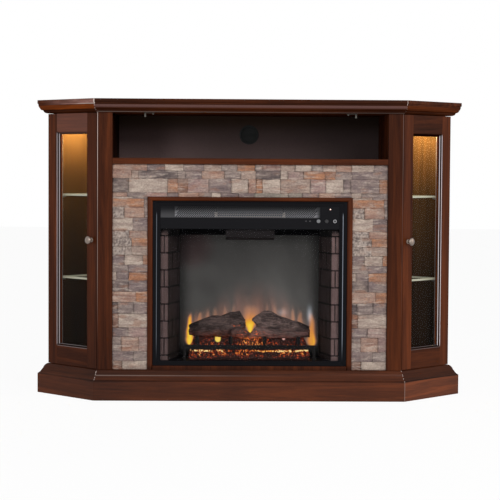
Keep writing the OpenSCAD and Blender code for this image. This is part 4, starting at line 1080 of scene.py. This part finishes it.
def flame_light(x, z):
    """Light of the screen: grey smoke that is darker at its sides, foot, top and upper left, then
    streaks of warm mist and wisps that reach higher in an arch round the middle, a middle flame
    that opens upwards, and flames, each a bell curve across whose width rises as a root from its
    foot to where it is widest and falls off to its tip."""
    sway = x + 0.004 * value_noise(x * 25, z * 26, 4) + 0.002 * value_noise(x * 70, z * 50, 24)
    side = smooth(np.abs(x), 0.220, 0.168)
    clouds = 1 + 0.30 * rough(x * 11 + 3 * z, z * 7, 6)
    smoke = 0.038 + 0.040 * smooth(z, 0.50, 0.30)
    smoke = smoke * (0.24 + 0.76 * side) * clouds * smooth(z, 0.130, 0.175)
    patch = smooth(np.hypot((x + 0.185) / 1.1, z - 0.462), 0.085, 0.02)
    smoke = smoke * (1 - 0.5 * patch) * (1 - 0.45 * smooth(z, 0.462, 0.497))
    smoke = smoke * (1 - 0.34 * smooth(x, -0.03, -0.12) * smooth(z, 0.40, 0.33))
    light = smoke[..., None] * (SMOKE + patch[..., None] * SMOKE_PATCH)
    arch = smooth(np.abs(x - 0.02), 0.20, 0.03)
    risen = smooth(z, 0.15, 0.20)
    streaks = 0.75 + 0.5 * value_noise(sway * 55, z * 4, 12)
    mist = smooth(z, 0.275 + 0.10 * arch, 0.205 + 0.02 * arch) * side * streaks * risen
    wisp = smooth(value_noise(sway * 110, z * 6, 9), -0.3, 0.8)
    wisp = wisp * smooth(z, 0.275 + 0.04 * arch, 0.215 + 0.03 * arch) * side * risen
    light = light + mist[..., None] * MIST + wisp[..., None] * WISP
    heat = np.zeros_like(x)
    for foot_x, foot, tip_x, tip, width, widest, warmth in FLAMES:
        rise = np.clip((z - foot) / (tip - foot), 0, 1)
        middle = foot_x + (tip_x - foot_x) * rise
        swell = np.where(rise < widest, np.sqrt(np.clip(rise / widest, 0, 1)),
                         np.clip((1 - rise) / (1 - widest), 0, 1) ** 0.6)
        bell = np.exp(-np.abs((sway - middle) / (width * (swell + 0.05))) ** 2.6)
        inside = smooth(z, foot - 0.003, foot + 0.004) * smooth(rise, 1.0, 0.75)
        heat = np.maximum(heat, warmth * bell * inside * (1 - 0.55 * rise ** 1.3))
    opening = 0.006 + 0.24 * np.clip(z - 0.196, 0, 0.2) + 0.007 * smooth(z, 0.2, 0.235)
    middle = np.exp(-np.abs((sway - 0.005) / opening) ** 3) * smooth(z, 0.190, 0.198)
    middle = middle * np.interp(z, HEARTH_HEIGHTS, HEARTH_HEAT)
    heat = np.maximum(heat, middle * (0.93 + 0.07 * value_noise(sway * 90, z * 30, 31)))
    flame = np.stack([np.interp(heat, FLAME_STOPS, FLAME_TONES[:, k]) for k in range(3)], -1)
    light = light * (1 - smooth(heat, 0.15, 0.6))[..., None] + flame
    # Painted glints added over the flame picture
    for place_x, place_z, wide, tall, glow in PAINTED_GLINTS:
        pale = np.exp(-((x - place_x) / wide) ** 2 - ((z - place_z) / tall) ** 2)
        light = light + pale[..., None] * np.array(glow)
    return light


def flame_screen(finish):
    """Flat sheet whose points carry the light of the flame picture."""
    low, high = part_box("flame_screen")
    x, z = np.meshgrid(np.linspace(low[0], high[0], 217), np.linspace(low[2], high[2], 191))
    front, rear = (np.stack([x, np.full_like(x, y), z], -1) for y in (low[1], high[1]))
    points, faces = shell(front, rear)
    light = flame_light(x, z).reshape(-1, 3)
    piece("flame_picture", points, faces, finish, CABINET, ("flame_screen",),
          {"flame_light": np.concatenate([light, light * 0.3])})


# Logs: stations of X, foot and top, then the middle and half depth in Y, and a seed
LOGS = [
    (((-0.184, 0.192, 0.224), (-0.168, 0.187, 0.230), (-0.148, 0.185, 0.238),
      (-0.118, 0.185, 0.250), (-0.077, 0.185, 0.2535), (-0.057, 0.186, 0.262),
      (-0.029, 0.194, 0.2650), (-0.022, 0.204, 0.252), (-0.013, 0.212, 0.238)), -0.088, 0.023, 1),
    (((0.012, 0.234, 0.245), (0.020, 0.226, 0.252), (0.028, 0.200, 0.258),
      (0.040, 0.190, 0.2655), (0.061, 0.185, 0.2660), (0.085, 0.185, 0.256),
      (0.122, 0.185, 0.243), (0.157, 0.185, 0.231), (0.185, 0.187, 0.219)), -0.088, 0.023, 4),
    (((-0.054, 0.190, 0.214), (-0.030, 0.185, 0.217), (-0.012, 0.185, 0.212),
      (0.003, 0.185, 0.201), (0.012, 0.185, 0.212), (0.024, 0.185, 0.222),
      (0.050, 0.185, 0.2165), (0.095, 0.185, 0.210), (0.150, 0.185, 0.208),
      (0.181, 0.188, 0.205)), -0.115, 0.0135, 7),
]

# Rings along a log, rings of each closed end, and points round a ring
LOG_RINGS = 96
CAP_RINGS = 7
RING_POINTS = 96


def log_surface(stations, middle_y, depth, seed, rest):
    """Tube along X whose foot and top follow the stations. Its cross-section is an ellipse that
    wavers with long ridges of bark and with steps where bark is missing, it lies flat on the
    rest, and rings that shrink to a point close its broken ends."""
    places, feet, tops = np.array(stations).T
    along = np.concatenate([np.zeros(CAP_RINGS), np.linspace(0, 1, LOG_RINGS), np.ones(CAP_RINGS)])
    shrink = np.concatenate([np.linspace(0.02, 0.97, CAP_RINGS), np.ones(LOG_RINGS),
                             np.linspace(0.97, 0.02, CAP_RINGS)])
    along, shrink = along[:, None], shrink[:, None]
    x = places[0] + (places[-1] - places[0]) * along
    foot, top = np.interp(x, places, feet), np.interp(x, places, tops)
    angle = np.linspace(0, 2 * math.pi, RING_POINTS, endpoint=False)[None]
    turn_y, turn_z = np.cos(angle), np.sin(angle)
    ridges = np.abs(rough(7 * turn_y + 4 * along, 7 * turn_z + 2 * along, seed, 5))
    lumps = rough(2.2 * turn_y + 5 * along, 2.2 * turn_z - 4 * along, seed + 20, 3)
    steps = smooth(value_noise(along * 7 + turn_y, turn_z * 2, seed + 40), -0.1, 0.02)
    girth = (0.97 + 0.06 * lumps - 0.15 * ridges + 0.08 * steps) * shrink
    broken = 0.005 * rough(3 * turn_y * shrink, 3 * turn_z * shrink, seed + 60, 3)
    cap = (np.abs(along - 0.5) > 0.499) * broken
    wide, high = (np.sign(turn) * np.abs(turn) ** 0.85 for turn in (turn_y, turn_z))
    y = middle_y + depth * girth * wide
    z = (foot + top) / 2 + (top - foot) / 2 * girth * high
    points = np.stack(np.broadcast_arrays(x + cap, y, np.maximum(z, rest)), -1)
    return points.reshape(-1, 3), grid_faces(*points.shape[:2], closed=True)


def close_poles(points, faces):
    """Adds a point in the middle of the first and the last ring, and fans of faces to both."""
    first, last = points[:RING_POINTS].mean(0), points[-RING_POINTS:].mean(0)
    count = len(points)
    ring = np.arange(RING_POINTS)
    after = np.roll(ring, -1)
    start = np.stack([np.full(RING_POINTS, count), after, ring], -1)
    end = np.stack([np.full(RING_POINTS, count + 1), ring, after], -1)
    end[:, 1:] += count - RING_POINTS
    faces = faces.tolist() + start.tolist() + end.tolist()
    return np.concatenate([points, [first, last]]), np.array(faces, dtype=object)


def logs(finish):
    """The three logs that lie on the embers."""
    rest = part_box("ember_bed")[1][2]
    for name, log in zip(("left", "right", "front"), LOGS):
        points, faces = close_poles(*log_surface(*log, rest))
        piece(name + "_log", points, faces, finish, CABINET, ("fire_logs",))


def embers(finish):
    """Bed of coals: a steep profile carried along X, pressed in between lumps by the height of
    two noises, over a flat foot."""
    low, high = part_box("ember_bed")
    run, stops = np.linspace(0, 1, 64), (0, 0.12, 0.3, 0.5, 1)
    depth = np.interp(run, stops, (0, 0.004, 0.009, 0.016, high[1] - low[1]))
    height = np.interp(run, stops, (0.12, 0.45, 0.78, 0.985, 0.985))
    x, depth = np.meshgrid(np.linspace(low[0], high[0], 400), depth)
    height = height[:, None] * (high[2] - low[2]) * smooth(np.abs(x), high[0] + 0.008, 0.168)
    lumps = 1 - np.abs(rough(x * 95, (height + depth) * 105, 5, 3)) * 1.5
    lumps = lumps * 0.6 + 0.4 * smooth(value_noise(x * 150, (height - depth) * 150, 15), -0.5, 0.5)
    front = smooth(depth, 0.022, 0.012) * smooth(depth, -0.001, 0.003)
    pressed = (1 - np.clip(lumps, 0, 1)) * front
    y = low[1] + depth
    skin = np.stack([x, y + pressed * 0.0055, low[2] + height - pressed * 0.006], -1)
    foot = np.stack([x, y, np.full_like(x, low[2])], -1)
    points, faces = shell(skin, foot)
    piece("ember_coals", points, faces, finish, CABINET, ("ember_bed",))


# Cable hole: its radius, how far round it the bristles reach, in radians, half the thickness of
# the brush, how far its halves lap past the middle, and its place before the grommet's rear
HOLE_RADIUS = 0.025
BRUSH_TURN = 1.53
BRUSH_HALF = 0.0003
BRUSH_LAP = 0.0016
BRUSH_INSET = 0.0042


def cable_brush(finish):
    """Upright bristles that close the cable hole from above and below: two half discs, each a
    sheet rippled across by the bristles, that lap over each other at the middle. Their columns
    stand at the sine of even steps, closer together at the sides."""
    low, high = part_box("cable_grommet")
    middle_x, middle_z = (low[0] + high[0]) / 2, (low[2] + high[2]) / 2
    share, drop = np.meshgrid(np.sin(np.linspace(-BRUSH_TURN, BRUSH_TURN, 301)),
                              np.linspace(0, 1, 7))
    reach = HOLE_RADIUS * np.sqrt(1 - share ** 2)
    end = 0.0006 * value_noise(share * 60, 0 * share, 3) - BRUSH_LAP
    ripple = np.abs(np.sin(share * 35 * math.pi)) * 0.00025
    x = middle_x + HOLE_RADIUS * share
    for name, side, place in (("upper", 1, 0.0), ("lower", -1, 0.0012)):
        y = high[1] - BRUSH_INSET + place
        z = middle_z + side * (reach + (end - reach) * drop)
        front = np.stack([x, y - BRUSH_HALF - ripple, z], -1)
        back = np.stack([x, y + BRUSH_HALF + ripple, z], -1)
        points, faces = shell(front, back)
        piece("cable_brush_" + name, points, faces, finish, CABINET, ())


# ---------------------------------------------------------------- finishes of the built parts

# Each finish, and the nodes that have it
FINISHES = [
    (post_wood(), ("corner_posts",)),
    (cabinet_side(), ("partitions", "end_panels")),
    (crown_wood(), ("crown_moulding",)),
    (slab_wood(), ("top_board",)),
    (base_wood("plinth_wood"), ("plinth",)),
    (base_wood("base_cap_wood"), ("base_cap",)),
    (sash_wood("left_stile_wood", "left_door_stiles", 0.86, 1.02, 0.62), ("left_door_stiles",)),
    (sash_wood("right_stile_wood", "right_door_stiles", 0.95, 1.0, 0.9), ("right_door_stiles",)),
    (sash_wood("left_rail_wood", "left_door_rails", 0.76, 1.3, 0.3), ("left_door_rails",)),
    (sash_wood("right_rail_wood", "right_door_rails", 0.52, 0.52, 0.14), ("right_door_rails",)),
    (stained_wood("shelf_wood", LEVEL), ("bay_shelf",)),
    (stained_wood("lying_wood", LYING), (
        "base_board", "ceiling_board", "door_stops", "hearth_board")),
    (trim_wood(), ("firebox_trim",)),
    (hardboard(), ("back_panel_upper", "back_panel_lower")),
    (firebox_steel(), ("firebox_case", "firebox_frame")),
    (grille_band("panel_steel", (15, 15, 18), (66, 66, 68)), ("control_panel",)),
    (grille_band("grille_steel", (20, 20, 22), (128, 128, 132), True), ("heater_grille",)),
    (painted_steel("duct_steel", (24, 20, 21), 0.5), ("air_duct",)),
    (painted_steel("motor_paint", (26, 25, 25), 0.5), ("rod_motor", "blower_motor")),
    (brushed_metal("dull_zinc", (96, 92, 86), 0.5), ("panel_catches",)),
    (brushed_metal("zinc_fittings", (176, 174, 170)), (
        "shelf_pins", "hinge_fixed_leaves", "hinge_pins", "magnet_catches",
        "left_door_hinge_leaves", "right_door_hinge_leaves", "left_door_strike",
        "right_door_strike")),
    (brushed_metal("brushed_nickel", (146, 132, 122)), (
        "cabinet_lamps", "left_door_knob", "right_door_knob")),
    (brushed_metal("bright_aluminium", (200, 202, 206)), ("flame_rod",)),
    (brushed_metal("dark_aluminium", (70, 70, 72), 0.5), ("blower_wheel",)),
    (moulded_plastic("black_plastic", (24, 24, 26), 0.45), ("heater_button",)),
    (moulded_plastic("grommet_plastic", (24, 26, 26), 0.6), ("cable_grommet",)),
    (moulded_plastic("silver_plastic", (122, 123, 126), 0.4), ("power_button",)),
    (signal_lens(), ("indicator_lights",)),
    (clear_glass("door_glass", (60, 66, 62), 0.03, 0.3), ("left_door_glass", "right_door_glass")),
    (clear_glass("shelf_glass", (90, 108, 98), 0.14, edge=(168, 166, 146)), ("glass_shelves",)),
    (clear_glass("firebox_glass", (30, 31, 34), 0.05, 0.08), ("firebox_glass",)),
    (lamp_glow("bulb_glass", (255, 214, 150), 1.2), ("flame_lamps",)),
    (lamp_glow("lamp_lens", (255, 226, 170), 6.0), ("lamp_lenses",)),
    (cast_iron(), ("fire_grate",)),
    (moulded_plastic("heater_ceramic", (176, 160, 144), 0.6), ("heating_element",)),
    (ringed_button(), ("flame_button",)),
]
for finish, names in FINISHES:
    for name in names:
        for slot in nodes[name].material_slots:
            slot.material = finish

# Width of the softened arrises: the triangles are joined, each edge sharper than the angle is
# rounded, and the flat faces keep their own normals
SOFT_EDGES = {
    0.0012: ("corner_posts", "top_board", "left_door_stiles", "right_door_stiles",
             "left_door_rails", "right_door_rails", "plinth", "bay_shelf"),
    0.0006: ("crown_moulding", "base_cap", "firebox_frame", "firebox_trim"),
}
for width, names in SOFT_EDGES.items():
    for name in names:
        weld = nodes[name].modifiers.new("weld", "WELD")
        weld.merge_threshold = 0.00001
        soften = nodes[name].modifiers.new("soften", "BEVEL")
        soften.width = width
        soften.segments = 2
        soften.limit_method = "ANGLE"
        soften.angle_limit = math.radians(28)
        flats = nodes[name].modifiers.new("flats", "WEIGHTED_NORMAL")
        flats.mode = "FACE_AREA"
        flats.weight = 100

# The grate's bar: its height over the grate's feet, and its own height
BAR_LEVEL = 0.034
BAR_HEIGHT = 0.013

stonework(split_stone_finish())
bricks = moulded_brick()
brick_wall(1, bricks)
brick_wall(-1, bricks)
flame_screen(flame_picture_finish())
bar_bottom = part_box("fire_grate")[0][2] + BAR_LEVEL
embers(glowing_embers(bar_bottom, bar_bottom + BAR_HEIGHT))
cable_brush(moulded_plastic("nylon_bristles", (34, 36, 35), 0.7))
logs(charred_log())


# ---------------------------------------------------------------- camera, floor and light

# Camera: place, turns in radians, and lens and sensor in millimetres
CAMERA_PLACE = (-0.0823, -5.1493, 0.7107)
CAMERA_YAW, CAMERA_PITCH, CAMERA_ROLL = 0.0165, 0.0505, 0.0062
LENS, SENSOR = 118.3, 36


def photo_camera():
    """Camera at the photograph's place, turned by its yaw, pitch and roll."""
    yaw, pitch, roll = CAMERA_YAW, CAMERA_PITCH, CAMERA_ROLL
    level = np.array([math.cos(yaw), -math.sin(yaw), 0])
    ahead = np.array([math.sin(yaw) * math.cos(pitch), math.cos(yaw) * math.cos(pitch),
                      -math.sin(pitch)])
    plumb = np.cross(level, ahead)
    right = math.cos(roll) * level + math.sin(roll) * plumb
    up = math.cos(roll) * plumb - math.sin(roll) * level
    data = bpy.data.cameras.new("photo_camera")
    data.lens = LENS
    data.sensor_width = SENSOR
    data.clip_start = 0.1
    data.clip_end = 60
    camera = bpy.data.objects.new("photo_camera", data)
    turn = Matrix(np.stack([right, up, -ahead], 1).tolist()).to_4x4()
    camera.matrix_world = Matrix.Translation(CAMERA_PLACE) @ turn
    bpy.context.scene.collection.objects.link(camera)
    bpy.context.scene.camera = camera


def lamp_at(name, kind, place, power, colour):
    """Lamp of a kind at a place."""
    data = bpy.data.lights.new(name, kind)
    data.energy = power
    data.color = colour
    lamp = bpy.data.objects.new(name, data)
    lamp.location = place
    bpy.context.scene.collection.objects.link(lamp)
    return lamp


def soft_box(name, place, target, size, power, colour=(1, 1, 1)):
    """Rectangular lamp that faces a target."""
    lamp = lamp_at(name, "AREA", place, power, colour)
    lamp.data.shape = "RECTANGLE"
    lamp.data.size, lamp.data.size_y = size
    lamp.rotation_mode = "QUATERNION"
    lamp.rotation_quaternion = (Vector(place) - Vector(target)).to_track_quat("Z", "Y")


def small_lamp(name, place, power, colour, radius):
    """Lamp bulb that shines all round."""
    lamp = lamp_at(name, "POINT", place, power, colour)
    lamp.data.shadow_soft_size = radius


def pale_floor():
    """Plain floor, white to the camera apart from a part that takes the object's shadow."""
    f = Finish("pale_floor")
    camera, glossy, clear = (f.node("LightPath", out="Is %s Ray" % ray)
                             for ray in ("Camera", "Glossy", "Transmission"))
    seen = camera.larger(glossy.larger(clear))
    matt = f.node("BsdfDiffuse", inputs={"Color": (0.9, 0.9, 0.9, 1)})
    white = f.node("Emission", inputs={"Color": (1, 1, 1, 1), "Strength": 1.0})
    f.node_output(f.node("MixShader", inputs={0: seen * 0.94, 1: matt, 2: white}))
    mesh = bpy.data.meshes.new("floor")
    reach = 14.0
    mesh.from_pydata([(-reach, -reach, 0), (reach, -reach, 0), (reach, reach, 0),
                      (-reach, reach, 0)], [], [(0, 1, 2, 3)])
    floor = bpy.data.objects.new("floor", mesh)
    floor.data.materials.append(f.material)
    bpy.context.scene.collection.objects.link(floor)


def pale_world(strength):
    """White surroundings: full white to the camera, metal and glass, and softer as light."""
    world = bpy.data.worlds.new("pale_world")
    world.use_nodes = True
    tree = world.node_tree
    background = tree.nodes["Background"]
    path = tree.nodes.new("ShaderNodeLightPath")
    seen = path.outputs["Is Camera Ray"]
    for ray in ("Is Glossy Ray", "Is Transmission Ray"):
        either = tree.nodes.new("ShaderNodeMath")
        either.operation = "MAXIMUM"
        tree.links.new(seen, either.inputs[0])
        tree.links.new(path.outputs[ray], either.inputs[1])
        seen = either.outputs[0]
    level = tree.nodes.new("ShaderNodeMapRange")
    tree.links.new(seen, level.inputs["Value"])
    level.inputs["To Min"].default_value = strength
    level.inputs["To Max"].default_value = 1.0
    background.inputs["Color"].default_value = (1, 1, 1, 1)
    tree.links.new(level.outputs[0], background.inputs["Strength"])
    bpy.context.scene.world = world


# Radius of the lens in the top of each cabinet
LENS_RADIUS = 0.0268

photo_camera()
pale_floor()
pale_world(0.42)
soft_box("key_light", (1.9, -4.2, 2.6), (0.1, 0, 0.45), (1.6, 1.6), 95)
soft_box("fill_light", (-2.3, -4.0, 1.6), (-0.1, 0, 0.45), (0.8, 2.2), 42)
soft_box("right_wing_light", (3.2, -0.6, 1.3), (0.5, 0, 0.45), (0.8, 1.8), 22, (1.0, 0.93, 0.86))
lens_low, lens_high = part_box("lamp_lenses")
for side in (-1, 1):
    lamp_place = (side * (lens_high[0] - LENS_RADIUS), 0, lens_low[2] - 0.012)
    small_lamp("cabinet_light", lamp_place, 3.2, (0.95, 0.79, 0.40), 0.018)
small_lamp("ember_light", (0, -0.118, 0.175), 0.35, (1.0, 0.42, 0.16), 0.03)

bpy.context.scene.view_settings.view_transform = "Standard"
